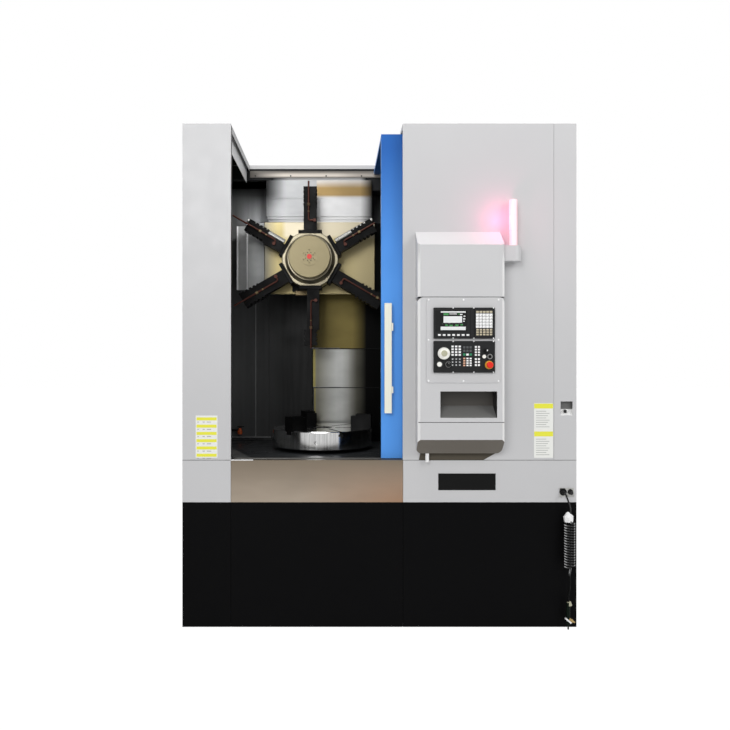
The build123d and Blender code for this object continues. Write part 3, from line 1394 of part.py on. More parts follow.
def coolant_pipe(angle, banjo_x, run_x, start, ferrule_at, tip):
    """Bent pipe on the front of a holder, with a banjo at its start and a ferrule on its run"""
    plane = holder_plane(angle, FLAT)
    height = FRONT_FACE + PIPE_GAP + PIPE_RADIUS

    def spot(x, y, z):
        return plane.origin + plane.x_dir * x + plane.y_dir * y + plane.z_dir * z

    with BuildPart(mode=Mode.PRIVATE) as pipe:
        with BuildLine() as path:
            FilletPolyline(
                spot(banjo_x, height, start), spot(run_x, height, start), spot(run_x, height, tip),
                radius=PIPE_BEND,
            )
        run = path.wires()[0]
        with BuildSketch(Plane(origin=run @ 0, z_dir=run % 0)):
            Circle(PIPE_RADIUS)
        sweep(path=run)
        with BuildSketch(Plane(origin=spot(banjo_x, FRONT_FACE, start), x_dir=plane.x_dir, z_dir=plane.y_dir)):
            Circle(BANJO_RADIUS)
        extrude(amount=PIPE_GAP + 2 * PIPE_RADIUS + BANJO_PROUD)
        foot_at = (ferrule_at + holder_length(angle)) / 2
        with BuildSketch(Plane(origin=spot(run_x, FRONT_FACE, foot_at), x_dir=plane.x_dir, z_dir=plane.y_dir)):
            Circle(PIPE_FOOT_RADIUS)
        extrude(amount=PIPE_GAP + PIPE_RADIUS)
        with BuildSketch(Plane(origin=spot(run_x, height, ferrule_at), x_dir=plane.x_dir, z_dir=plane.z_dir)):
            RegularPolygon(FERRULE_RADIUS, 6)
        extrude(amount=FERRULE_LENGTH)
    return pipe.part


# Coolant pipes along the fronts of the holders
with BuildPart() as coolant_pipes:
    for row in PIPES:
        add(coolant_pipe(*row))
save("coolant_pipes", coolant_pipes.part)


def spoke_plane(angle, height):
    """Plane above the chuck whose x axis points along one spoke"""
    direction = (cos(radians(angle)), sin(radians(angle)), 0)
    return Plane(origin=(CHUCK_X, CHUCK_Y, height), x_dir=direction, z_dir=(0, 0, 1))


# Chuck with jaw slots, T-slots between them, and the spindle nose below
CHUCK_FACE = Plane((CHUCK_X, CHUCK_Y, CHUCK_TOP))
SPOKE = (Align.MIN, Align.CENTER)
with BuildPart() as chuck_body:
    with BuildSketch(Plane((CHUCK_X, CHUCK_Y, CHUCK_BOTTOM))):
        Circle(CHUCK_RADIUS)
    extrude(amount=CHUCK_TOP - CHUCK_BOTTOM)
    chamfer(chuck_body.edges(), length=CHUCK_CHAMFER)
    with BuildSketch(Plane((CHUCK_X, CHUCK_Y, CHUCK_BOTTOM))):
        Circle(NOSE_RADIUS)
    extrude(amount=BED_TOP + RUN_GAP - CHUCK_BOTTOM)
    for angle in JAW_ANGLES:
        with BuildSketch(spoke_plane(angle, CHUCK_TOP)):
            with Locations((JAW_SLOT_INNER, 0)):
                Rectangle(CHUCK_RADIUS, JAW_TONGUE_WIDTH, align=SPOKE)
        extrude(amount=-JAW_TONGUE_DEPTH, mode=Mode.SUBTRACT)
    for angle in T_SLOT_ANGLES:
        with BuildSketch(spoke_plane(angle, CHUCK_TOP)):
            with Locations((T_SLOT_INNER, 0)):
                Rectangle(CHUCK_RADIUS, T_SLOT_NECK, align=SPOKE)
        extrude(amount=-T_SLOT_DEPTH, mode=Mode.SUBTRACT)
        with BuildSketch(spoke_plane(angle, CHUCK_TOP - T_SLOT_DEPTH)):
            with Locations((T_SLOT_INNER, 0)):
                Rectangle(CHUCK_RADIUS, T_SLOT_HEAD, align=SPOKE)
        extrude(amount=T_SLOT_HEAD_HEIGHT, mode=Mode.SUBTRACT)
    with BuildSketch(CHUCK_FACE):
        Circle(CHUCK_BORE_RADIUS)
    extrude(amount=-CHUCK_BORE_DEPTH, mode=Mode.SUBTRACT)
    key_direction = (cos(radians(CHUCK_KEY_ANGLE)), sin(radians(CHUCK_KEY_ANGLE)), 0)
    key_origin = (
        CHUCK_X + CHUCK_RADIUS * key_direction[0],
        CHUCK_Y + CHUCK_RADIUS * key_direction[1],
        CHUCK_TOP - CHUCK_KEY_DROP,
    )
    with BuildSketch(Plane(origin=key_origin, z_dir=key_direction)):
        Circle(CHUCK_KEY_RADIUS)
    extrude(amount=-CHUCK_KEY_DEPTH, mode=Mode.SUBTRACT)
save("chuck_body", chuck_body.part)

# Jaws: a tongue in the slot and a stepped gripping block
for number, angle in enumerate(JAW_ANGLES, start=1):
    with BuildPart() as jaw:
        inner_end = JAW_RADIUS - JAW_LENGTH / 2
        with BuildSketch(spoke_plane(angle, CHUCK_TOP - JAW_TONGUE_DEPTH + RUN_GAP)):
            with Locations((inner_end, 0)):
                Rectangle(JAW_LENGTH, JAW_TONGUE_WIDTH - 2 * RUN_GAP, align=SPOKE)
        extrude(amount=JAW_TONGUE_DEPTH)
        with BuildSketch(spoke_plane(angle, CHUCK_TOP + RUN_GAP)):
            with Locations((inner_end, 0)):
                Rectangle(JAW_LENGTH, JAW_WIDTH, align=SPOKE)
        extrude(amount=JAW_HEIGHT - JAW_STEP)
        with BuildSketch(spoke_plane(angle, CHUCK_TOP + RUN_GAP + JAW_HEIGHT - JAW_STEP)):
            with Locations((inner_end + JAW_LENGTH * JAW_STEP_SHARE, 0)):
                Rectangle(JAW_LENGTH * (1 - JAW_STEP_SHARE), JAW_WIDTH, align=SPOKE)
        extrude(amount=JAW_STEP)
        with BuildSketch(spoke_plane(angle, CHUCK_TOP + RUN_GAP + JAW_HEIGHT)):
            for bolt in (0, 1):
                bolt_x = inner_end + JAW_LENGTH * JAW_STEP_SHARE + (bolt + 1) * JAW_BOLT_PITCH - JAW_BOLT_RADIUS
                with Locations((bolt_x, 0)):
                    Circle(JAW_BOLT_RADIUS)
        extrude(amount=-JAW_BOLT_DEPTH, mode=Mode.SUBTRACT)
    save(f"jaw_{number}", jaw.part)
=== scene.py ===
from math import cos, pi, radians, sin

import bmesh
import bpy
from mathutils import Matrix, Vector


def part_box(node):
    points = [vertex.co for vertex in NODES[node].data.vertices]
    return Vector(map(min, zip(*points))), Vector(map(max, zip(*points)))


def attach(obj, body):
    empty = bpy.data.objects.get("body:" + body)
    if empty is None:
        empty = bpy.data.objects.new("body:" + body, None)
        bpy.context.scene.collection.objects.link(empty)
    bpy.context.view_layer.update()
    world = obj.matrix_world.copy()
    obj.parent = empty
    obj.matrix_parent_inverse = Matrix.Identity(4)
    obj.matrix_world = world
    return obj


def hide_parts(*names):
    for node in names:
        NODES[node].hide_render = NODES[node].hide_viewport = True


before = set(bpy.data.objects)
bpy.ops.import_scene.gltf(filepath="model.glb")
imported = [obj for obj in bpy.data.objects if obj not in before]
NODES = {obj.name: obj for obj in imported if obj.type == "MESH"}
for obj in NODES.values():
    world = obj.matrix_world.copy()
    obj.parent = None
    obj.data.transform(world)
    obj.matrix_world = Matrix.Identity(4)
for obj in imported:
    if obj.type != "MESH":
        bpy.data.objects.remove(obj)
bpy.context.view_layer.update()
X, Y, Z = 0, 1, 2


def srgb(red, green, blue):
    """Colour as seen on screen, 0 to 255, to the linear colour that a shader takes"""
    linear = []
    for level in (red, green, blue):
        share = level / 255
        linear.append(share / 12.92 if share <= 0.04045 else ((share + 0.055) / 1.055) ** 2.4)
    return (*linear, 1.0)


def darker(colour, share):
    return (*[level * share for level in colour[:3]], 1.0)


def add_object(name, data):
    made = bpy.data.objects.new(name, data)
    bpy.context.scene.collection.objects.link(made)
    return made


# Camera at the photograph's viewing point: level, with the horizon through its eye height
EYE = (-0.295, -6.08, 1.856)
FOCAL_PIXELS = 709
FRAME_PIXELS = 730
SENSOR_MM = 36
VANISHING_X = 337
VANISHING_Y = 360


def make_camera():
    data = bpy.data.cameras.new("camera")
    data.sensor_width = SENSOR_MM
    data.lens = SENSOR_MM * FOCAL_PIXELS / FRAME_PIXELS
    data.shift_x = (FRAME_PIXELS / 2 - VANISHING_X) / FRAME_PIXELS
    data.shift_y = -(FRAME_PIXELS / 2 - VANISHING_Y) / FRAME_PIXELS
    data.clip_end = 100
    camera = add_object("camera", data)
    camera.location = EYE
    camera.rotation_euler = (pi / 2, 0, 0)
    bpy.context.scene.camera = camera


make_camera()

# Stretches of a noise texture, scales of the noises that recur, and the part of a noise's range in use
EVEN = (1.0, 1.0, 1.0)
ALONG_X = (1.0, 160.0, 160.0)
TURNED = (40.0, 40.0, 1.0)
BROAD = 0.9
GLOSS = 9.0
GRINDING = 3.0
ORANGE_PEEL = 420.0
NOISE_LOW = 0.3
NOISE_HIGH = 0.7
# Near black: painted shade in many materials below, and the own black of the name plate, the latch's lock,
# the socket's couplings and the door's inner side
BLACK_AND_SHADE = srgb(8, 8, 8)


class Shader:
    """A material with its principled shader and short ways to add texture nodes"""

    def __init__(self, name, colour, roughness, metallic=0.0, specular=0.5):
        self.material = bpy.data.materials.new(name)
        self.material.use_nodes = True
        self.nodes = self.material.node_tree.nodes
        self.links = self.material.node_tree.links
        self.bsdf = self.nodes["Principled BSDF"]
        self.set("Base Color", colour)
        self.set("Roughness", roughness)
        self.set("Metallic", metallic)
        self.set("Specular IOR Level", specular)
        self.material.diffuse_color = colour

    def set(self, socket, value):
        self.bsdf.inputs[socket].default_value = value

    def use(self, socket, value):
        self.links.new(value, self.bsdf.inputs[socket])

    def noise(self, scale, stretch=EVEN, detail=3.0):
        """Noise over the object coordinates, in metres"""
        coordinates = self.nodes.new("ShaderNodeTexCoord")
        mapping = self.nodes.new("ShaderNodeMapping")
        mapping.inputs["Scale"].default_value = stretch
        self.links.new(coordinates.outputs["Object"], mapping.inputs["Vector"])
        texture = self.nodes.new("ShaderNodeTexNoise")
        texture.inputs["Scale"].default_value = scale
        texture.inputs["Detail"].default_value = detail
        self.links.new(mapping.outputs["Vector"], texture.inputs["Vector"])
        return texture.outputs["Fac"]

    def spread(self, value, low, high, start=NOISE_LOW, end=NOISE_HIGH):
        """Value between start and end, mapped to low and high"""
        node = self.nodes.new("ShaderNodeMapRange")
        for socket, number in (("From Min", start), ("From Max", end), ("To Min", low), ("To Max", high)):
            node.inputs[socket].default_value = number
        self.links.new(value, node.inputs["Value"])
        return node.outputs["Result"]

    def cloud(self, scale, high=1.0, stretch=EVEN, detail=3.0):
        """Noise spread from zero up to a share"""
        return self.spread(self.noise(scale, stretch, detail), 0.0, high)

    def times(self, product, *factors):
        for factor in factors:
            node = self.nodes.new("ShaderNodeMath")
            node.operation = "MULTIPLY"
            self.links.new(product, node.inputs[0])
            self.links.new(factor, node.inputs[1])
            product = node.outputs[0]
        return product

    def mix(self, share, first, second):
        """Two colours or colour sockets mixed by a share"""
        node = self.nodes.new("ShaderNodeMix")
        node.data_type = "RGBA"
        for socket, value in ((0, share), (6, first), (7, second)):
            if isinstance(value, bpy.types.NodeSocket):
                self.links.new(value, node.inputs[socket])
            else:
                node.inputs[socket].default_value = value
        return node.outputs[2]

    def tint(self, share, first, second):
        """Base colour, mixed from two by a share"""
        self.use("Base Color", self.mix(share, first, second))

    def mottle(self, colour, share, scale, stretch=EVEN, detail=3.0):
        """Base colour that varies down to a darker share of itself"""
        tone = self.mix(self.cloud(scale, 1.0, stretch, detail), darker(colour, share), colour)
        self.use("Base Color", tone)
        return tone

    def component(self, output, axis):
        """One axis of a texture coordinate"""
        split = self.nodes.new("ShaderNodeSeparateXYZ")
        coordinates = self.nodes.new("ShaderNodeTexCoord")
        self.links.new(coordinates.outputs[output], split.inputs[0])
        return split.outputs[axis]

    def rise(self, axis, start, end, low=0.0, high=1.0):
        """Object coordinate mapped from start and end to low and high"""
        return self.spread(self.component("Object", axis), low, high, start, end)

    def fall(self, axis, start, end, low=0.0, high=1.0):
        """Object coordinate mapped from start and end to high and low"""
        return self.rise(axis, start, end, high, low)

    def window(self, axis, opens, closes):
        """Share that rises over one span of an axis and falls over another"""
        return self.times(self.rise(axis, *opens), self.fall(axis, *closes))

    def facing(self, axis, start, end):
        """Share of a face turned along one axis, from start to end of its normal"""
        return self.spread(self.component("Normal", axis), 0.0, 1.0, start, end)

    def rough(self, scale, low, high, stretch=EVEN):
        """Roughness that wanders between two levels"""
        self.use("Roughness", self.spread(self.noise(scale, stretch), low, high))

    def bump(self, height, strength, distance):
        node = self.nodes.new("ShaderNodeBump")
        node.inputs["Strength"].default_value = strength
        node.inputs["Distance"].default_value = distance
        self.links.new(height, node.inputs["Height"])
        self.use("Normal", node.outputs["Normal"])

    def spray(self, low, high):
        """Uneven gloss and fine orange peel of a sprayed enamel"""
        self.rough(GLOSS, low, high)
        self.bump(self.noise(ORANGE_PEEL, detail=1.0), 0.05, 0.0004)

    def grind(self, low, high, strength, stretch=ALONG_X, detail=6.0):
        """Uneven gloss and fine scratches along one direction"""
        self.rough(GRINDING, low, high, stretch)
        self.bump(self.noise(GRINDING, stretch, detail), strength, 0.0003)


def paint(name, colour, roughness=0.38, mottle=0.95, specular=0.4):
    """Sprayed enamel: broad mottling, uneven gloss and a fine orange peel"""
    shader = Shader(name, colour, roughness, specular=specular)
    shader.mottle(colour, mottle, BROAD, detail=2.0)
    shader.spray(roughness * 0.85, roughness * 1.15)
    return shader


def brushed(name, colour, roughness, contrast=0.8, metallic=1.0, stretch=ALONG_X):
    """Brushed or ground steel: fine scratches over a broad change of tone"""
    shader = Shader(name, colour, roughness, metallic)
    shader.mottle(colour, contrast, GRINDING, stretch, 6.0)
    shader.grind(roughness * 0.8, roughness * 1.2, 0.1, stretch)
    return shader


def plastic(name, colour, roughness=0.5, grain=700.0, strength=0.12, specular=0.4):
    """Moulded plastic with a fine spark texture"""
    shader = Shader(name, colour, roughness, specular=specular)
    shader.bump(shader.noise(grain, detail=2.0), strength, 0.0003)
    shader.mottle(colour, 0.9, 25.0)
    return shader


def casting(name, colour, specular=0.3):
    """Cast iron under thick enamel, or blackened steel"""
    shader = Shader(name, colour, 0.5, specular=specular)
    shader.bump(shader.noise(60.0, detail=6.0), 0.25, 0.0015)
    shader.mottle(colour, 0.75, 6.0)
    shader.rough(14.0, 0.35, 0.6)
    return shader


def faced_paint(name, colour, painted_tone, axis, start, end, depth=None):
    """Enamel with a given painted tone on faces turned along one axis (a painted highlight on the pillar,
    painted shade under the roof), turning to painted shade beyond a depth
    """
    shader = Shader(name, colour, 0.38, specular=0.4)
    tone = shader.mottle(colour, 0.95, BROAD, detail=2.0)
    if depth is not None:
        painted_tone = shader.mix(shader.rise(Y, depth, depth + 0.006), painted_tone, BLACK_AND_SHADE)
    shader.tint(shader.facing(axis, start, end), tone, painted_tone)
    shader.spray(0.32, 0.44)
    return shader


def beam_sheet(name, colour, pale):
    """Black top beam, with painted light along its lower edge over the doorway"""
    doorway, lower_edge = ((-0.84, -0.7), (-0.1, -0.05)), (3.408, 3.42)
    shader = Shader(name, colour, 0.5, specular=0.2)
    painted_light = shader.times(shader.window(X, *doorway), shader.fall(Z, *lower_edge))
    shader.tint(painted_light, colour, pale)
    return shader


def rail_sheet(name, colour):
    """Guide rail of the door, with painted shade towards its left end and towards the right, and darker over
    a band below its top edge
    """
    left_end, middle = (-0.98, -0.75), (-0.3, -0.12)
    lower_edge, upper_edge = (3.4, 3.412), (3.42, 3.445)
    shader = Shader(name, colour, 0.45, 0.5)
    tone = shader.mottle(colour, 0.85, GRINDING, ALONG_X, 6.0)
    tone = shader.mix(shader.rise(X, *middle, high=0.6), tone, darker(colour, 0.4))
    lip = shader.times(shader.rise(Z, *lower_edge, low=0.25), shader.fall(Z, *upper_edge))
    tone = shader.mix(lip, darker(colour, 0.22), tone)
    shader.tint(shader.rise(X, *left_end), darker(colour, 0.2), tone)
    shader.grind(0.38, 0.5, 0.1)
    return shader


def chamber_sheet(name, low_colour, high_colour):
    """Chamber wall: a band of painted light near the top, painted shade below it that darkens towards the
    right and turns black under the roof, and random stains
    """
    bright_from, bright_until, top = (3.03, 3.1), (3.1, 3.32), (3.3, 3.42)
    inward, right = (-1.19, -0.93), (-1.12, -0.76)
    shader = Shader(name, high_colour, 0.4, specular=0.12)
    painted_light = shader.times(shader.rise(Z, *bright_from), shader.fall(Z, *bright_until, low=0.05))
    shaded_tone = shader.mix(shader.rise(X, *right), low_colour, darker(low_colour, 0.1))
    shaded_tone = shader.mix(shader.rise(Z, *top), shaded_tone, BLACK_AND_SHADE)
    tone = shader.mix(shader.times(painted_light, shader.rise(X, *inward)), shaded_tone, high_colour)
    stains = shader.cloud(3.0, 0.25, (10.0, 10.0, 0.5), 4.0)
    shader.tint(stains, tone, darker(low_colour, 0.5))
    shader.rough(5.0, 0.3, 0.5)
    return shader


def pan_sheet(name, colour, guide_colour):
    """Chamber floor, brighter on the raised chip guide"""
    guide_top = (1.1462, 1.149)
    shader = Shader(name, colour, 0.35)
    tone = shader.mix(shader.rise(Z, *guide_top), colour, guide_colour)
    dust = shader.cloud(12.0, 0.5, detail=5.0)
    shader.tint(dust, tone, darker(colour, 0.6))
    shader.rough(7.0, 0.25, 0.5)
    return shader


def warm_apron(name, top_colour, low_colour, reflected_warm):
    """Brushed stainless sheet with a painted reflection: paler towards the floor and warmer towards one
    lower corner
    """
    height, right = (0.867, 1.159), (-0.55, 0.16)
    shader = Shader(name, top_colour, 0.42, 0.55)
    down = shader.fall(Z, *height)
    tone = shader.mix(down, top_colour, low_colour)
    tone = shader.mix(shader.times(down, shader.rise(X, *right)), tone, reflected_warm)
    clouds = shader.cloud(2.2, 0.35, (1.0, 1.0, 3.0), 2.0)
    shader.tint(clouds, tone, darker(top_colour, 0.9))
    shader.grind(0.36, 0.5, 0.06)
    return shader


def latch_paint(name, dark, pale):
    """Pressed recess, shaded above and bright on its sloping lower face, with a black lock"""
    slope_top, lock_y = (1.51, 1.516), (-1.148, -1.146)
    lock_x = (1.2788, 1.2798), (1.3042, 1.3052)
    lock_z = (1.4858, 1.4868), (1.5112, 1.5122)
    shader = Shader(name, pale, 0.4)
    tone = shader.mix(shader.rise(Z, *slope_top), pale, dark)
    lock = shader.times(shader.window(X, *lock_x), shader.window(Z, *lock_z), shader.fall(Y, *lock_y))
    shader.tint(lock, tone, BLACK_AND_SHADE)
    shader.rough(GLOSS, 0.34, 0.44)
    return shader


def grind_and_shade_cover(shader, tone, shaded):
    """Fine grinding marks and random darker clouds, and painted shade over the side that the door shades"""
    tone = shader.mix(shader.cloud(2.4, 0.3, (1.0, 1.0, 2.0)), tone, BLACK_AND_SHADE)
    shader.tint(shader.rise(X, *shaded), tone, BLACK_AND_SHADE)
    shader.grind(0.3, 0.42, 0.04, detail=5.0)
    shader.set("Specular IOR Level", 0.1)
    return shader


def upper_cover_sheet(name, left_dark, left_pale, white, gold):
    """Upper way covers, toned by painted reflections: grey to the left of the middle seam, with painted
    shade at its upper left corner, and white with a straw band to its right
    """
    left_side, seam, shaded = (-0.88, -0.72), (-0.47, -0.46), (-0.1, 0.0)
    corner_x, corner_z = (-0.88, -0.74), (3.05, 3.25)
    band_low, band_high = (3.215, 3.24), (3.3, 3.36)
    shader = Shader(name, white, 0.36, 0.6)
    left = shader.mix(shader.rise(X, *left_side), left_dark, left_pale)
    corner = shader.times(shader.fall(X, *corner_x, low=0.1, high=0.9), shader.rise(Z, *corner_z))
    left = shader.mix(corner, left, BLACK_AND_SHADE)
    band = shader.times(shader.rise(Z, *band_low), shader.fall(Z, *band_high, low=0.25))
    right = shader.mix(band, white, gold)
    return grind_and_shade_cover(shader, shader.mix(shader.rise(X, *seam), left, right), shaded)


def lower_cover_sheet(name, pale, warm, straw):
    """Lower way covers: steel with a straw left edge and a paler middle, both painted reflections, and
    painted shade towards the right
    """
    middle, left_edge, shaded = ((-0.46, -0.3), (-0.25, -0.12)), (-0.49, -0.475), (-0.2, -0.04)
    shader = Shader(name, pale, 0.36, 0.6)
    tone = shader.mix(shader.window(X, *middle), warm, pale)
    tone = shader.mix(shader.fall(X, *left_edge), tone, straw)
    return grind_and_shade_cover(shader, tone, shaded)


def cover_sheet(name, colour, left, roughness, metallic, left_edge, shaded, share=1.0):
    """Cover with another tone along its left edge, and painted shade at its right; the left tone is a
    painted reflection on the side covers and painted shade on the straw cover
    """
    shader = Shader(name, colour, roughness, metallic)
    tone = shader.mix(shader.fall(X, *left_edge, high=share), colour, left)
    return grind_and_shade_cover(shader, tone, shaded)


def door_blue(name, top_colour, low_colour):
    """Gloss blue enamel, paler towards the floor and on its left-facing side by painted light, over a black
    inner side
    """
    height, turned_left, turned_back = (2.4, 3.35), (-0.5, -0.7), (0.4, 0.6)
    shader = Shader(name, top_colour, 0.34, specular=0.3)
    tone = shader.mix(shader.fall(Z, *height), top_colour, low_colour)
    tone = shader.mix(shader.cloud(BROAD, 0.1, detail=2.0), tone, darker(top_colour, 0.8))
    tone = shader.mix(shader.facing(X, *turned_left), tone, low_colour)
    shader.tint(shader.facing(Y, *turned_back), tone, BLACK_AND_SHADE)
    shader.spray(0.3, 0.38)
    shader.set("Coat Weight", 0.1)
    return shader


def pendant_paint(name, colour, edge, brown, floor_grey):
    """Pendant enamel: a painted highlight on its bevels, brown on its underside, and painted shade on the
    back and side of its pocket
    """
    bevel_start, bevel_end, hood = (-0.95, -0.85), (-0.2, -0.3), (2.5, 2.6)
    gland_x, gland_z = (0.345, 0.35), (1.21, 1.2115)
    turned_down, underside = (-0.4, -0.6), (1.32, 1.33)
    pocket_x = (0.398, 0.401), (0.7855, 0.788)
    pocket_y = (-1.2995, -1.297)
    pocket_z = (1.46, 1.4635), (1.6445, 1.648)
    pocket_floor, pocket_side = (1.536, 1.542), (0.782, 0.7845)
    shader = Shader(name, colour, 0.38)
    bevel = shader.times(shader.facing(Y, *bevel_start), shader.facing(Y, *bevel_end))
    bevel = shader.times(bevel, shader.fall(Z, *hood, low=0.25))
    tone = shader.mix(bevel, colour, edge)
    gland = shader.times(shader.fall(Z, *gland_z), shader.fall(X, *gland_x))
    tone = shader.mix(gland, tone, edge)
    down = shader.times(shader.facing(Z, *turned_down), shader.fall(Z, *underside))
    tone = shader.mix(down, tone, brown)
    inside = shader.window(X, *pocket_x), shader.window(Z, *pocket_z), shader.rise(Y, *pocket_y)
    pocket_floor_and_shade = shader.mix(shader.rise(Z, *pocket_floor), floor_grey, darker(brown, 0.3))
    pocket_floor_and_shade = shader.mix(shader.rise(X, *pocket_side), pocket_floor_and_shade, BLACK_AND_SHADE)
    shader.tint(shader.times(*inside), tone, pocket_floor_and_shade)
    shader.spray(0.32, 0.44)
    return shader


def slide_plate(name, silver, warm, gold, pale):
    """Face plate of the cross slide: grey at its left by a painted reflection, straw beyond, and pale along
    its top as a painted highlight
    """
    left_side, right_side = (-0.9, -0.79), (-0.5, -0.1)
    top_x, top_z = (-0.76, -0.72), (2.86, 2.9)
    shader = Shader(name, warm, 0.36, 0.7)
    tone = shader.mix(shader.fall(X, *left_side), warm, silver)
    tone = shader.mix(shader.rise(X, *right_side), tone, gold)
    top = shader.times(shader.rise(Z, *top_z), shader.rise(X, *top_x, high=0.8))
    tone = shader.mix(top, tone, pale)
    clouds = shader.cloud(1.8, 0.5, detail=1.0)
    shader.tint(clouds, tone, darker(warm, 0.85))
    shader.rough(GRINDING, 0.3, 0.45, ALONG_X)
    return shader


HOSE_Y = -1.212


def clear_hose(name, colour, highlight_colour):
    """Glossy curled hose with a painted highlight on the sides of the front half of its turns"""
    front, coil_bottom, coil_top = (HOSE_Y - 0.008, HOSE_Y), (0.37, 0.4), (0.78, 0.8)
    shader = Shader(name, colour, 0.15)
    shader.rough(40.0, 0.1, 0.2)
    sideways = shader.component("Normal", X)
    highlight_share = shader.spread(shader.times(sideways, sideways), 0.0, 1.0)
    highlight_share = shader.times(highlight_share, shader.fall(Y, *front), shader.window(Z, coil_bottom, coil_top))
    shader.tint(highlight_share, colour, highlight_colour)
    shader.use("Specular IOR Level", shader.rise(Z, *coil_bottom, low=0.05, high=0.4))
    return shader


def socket_plate(name, colour):
    """Pale plate behind black couplings"""
    couplings = (-1.16, -1.157)
    shader = Shader(name, colour, 0.4)
    tone = shader.mottle(colour, 0.85, 30.0)
    shader.tint(shader.fall(Y, *couplings), tone, BLACK_AND_SHADE)
    return shader


def lamp_plastic(name, colour, glow):
    """Ribbed translucent lens, dimly lit"""
    shader = Shader(name, colour, 0.25)
    shader.set("Emission Color", glow)
    shader.set("Emission Strength", 0.5)
    shader.bump(shader.noise(1.0, (1.0, 1.0, 260.0), 0.0), 0.3, 0.001)
    return shader


def glass(name, colour):
    shader = Shader(name, colour, 0.05)
    shader.set("Transmission Weight", 0.9)
    shader.set("IOR", 1.45)
    shader.rough(8.0, 0.03, 0.09)
    return shader


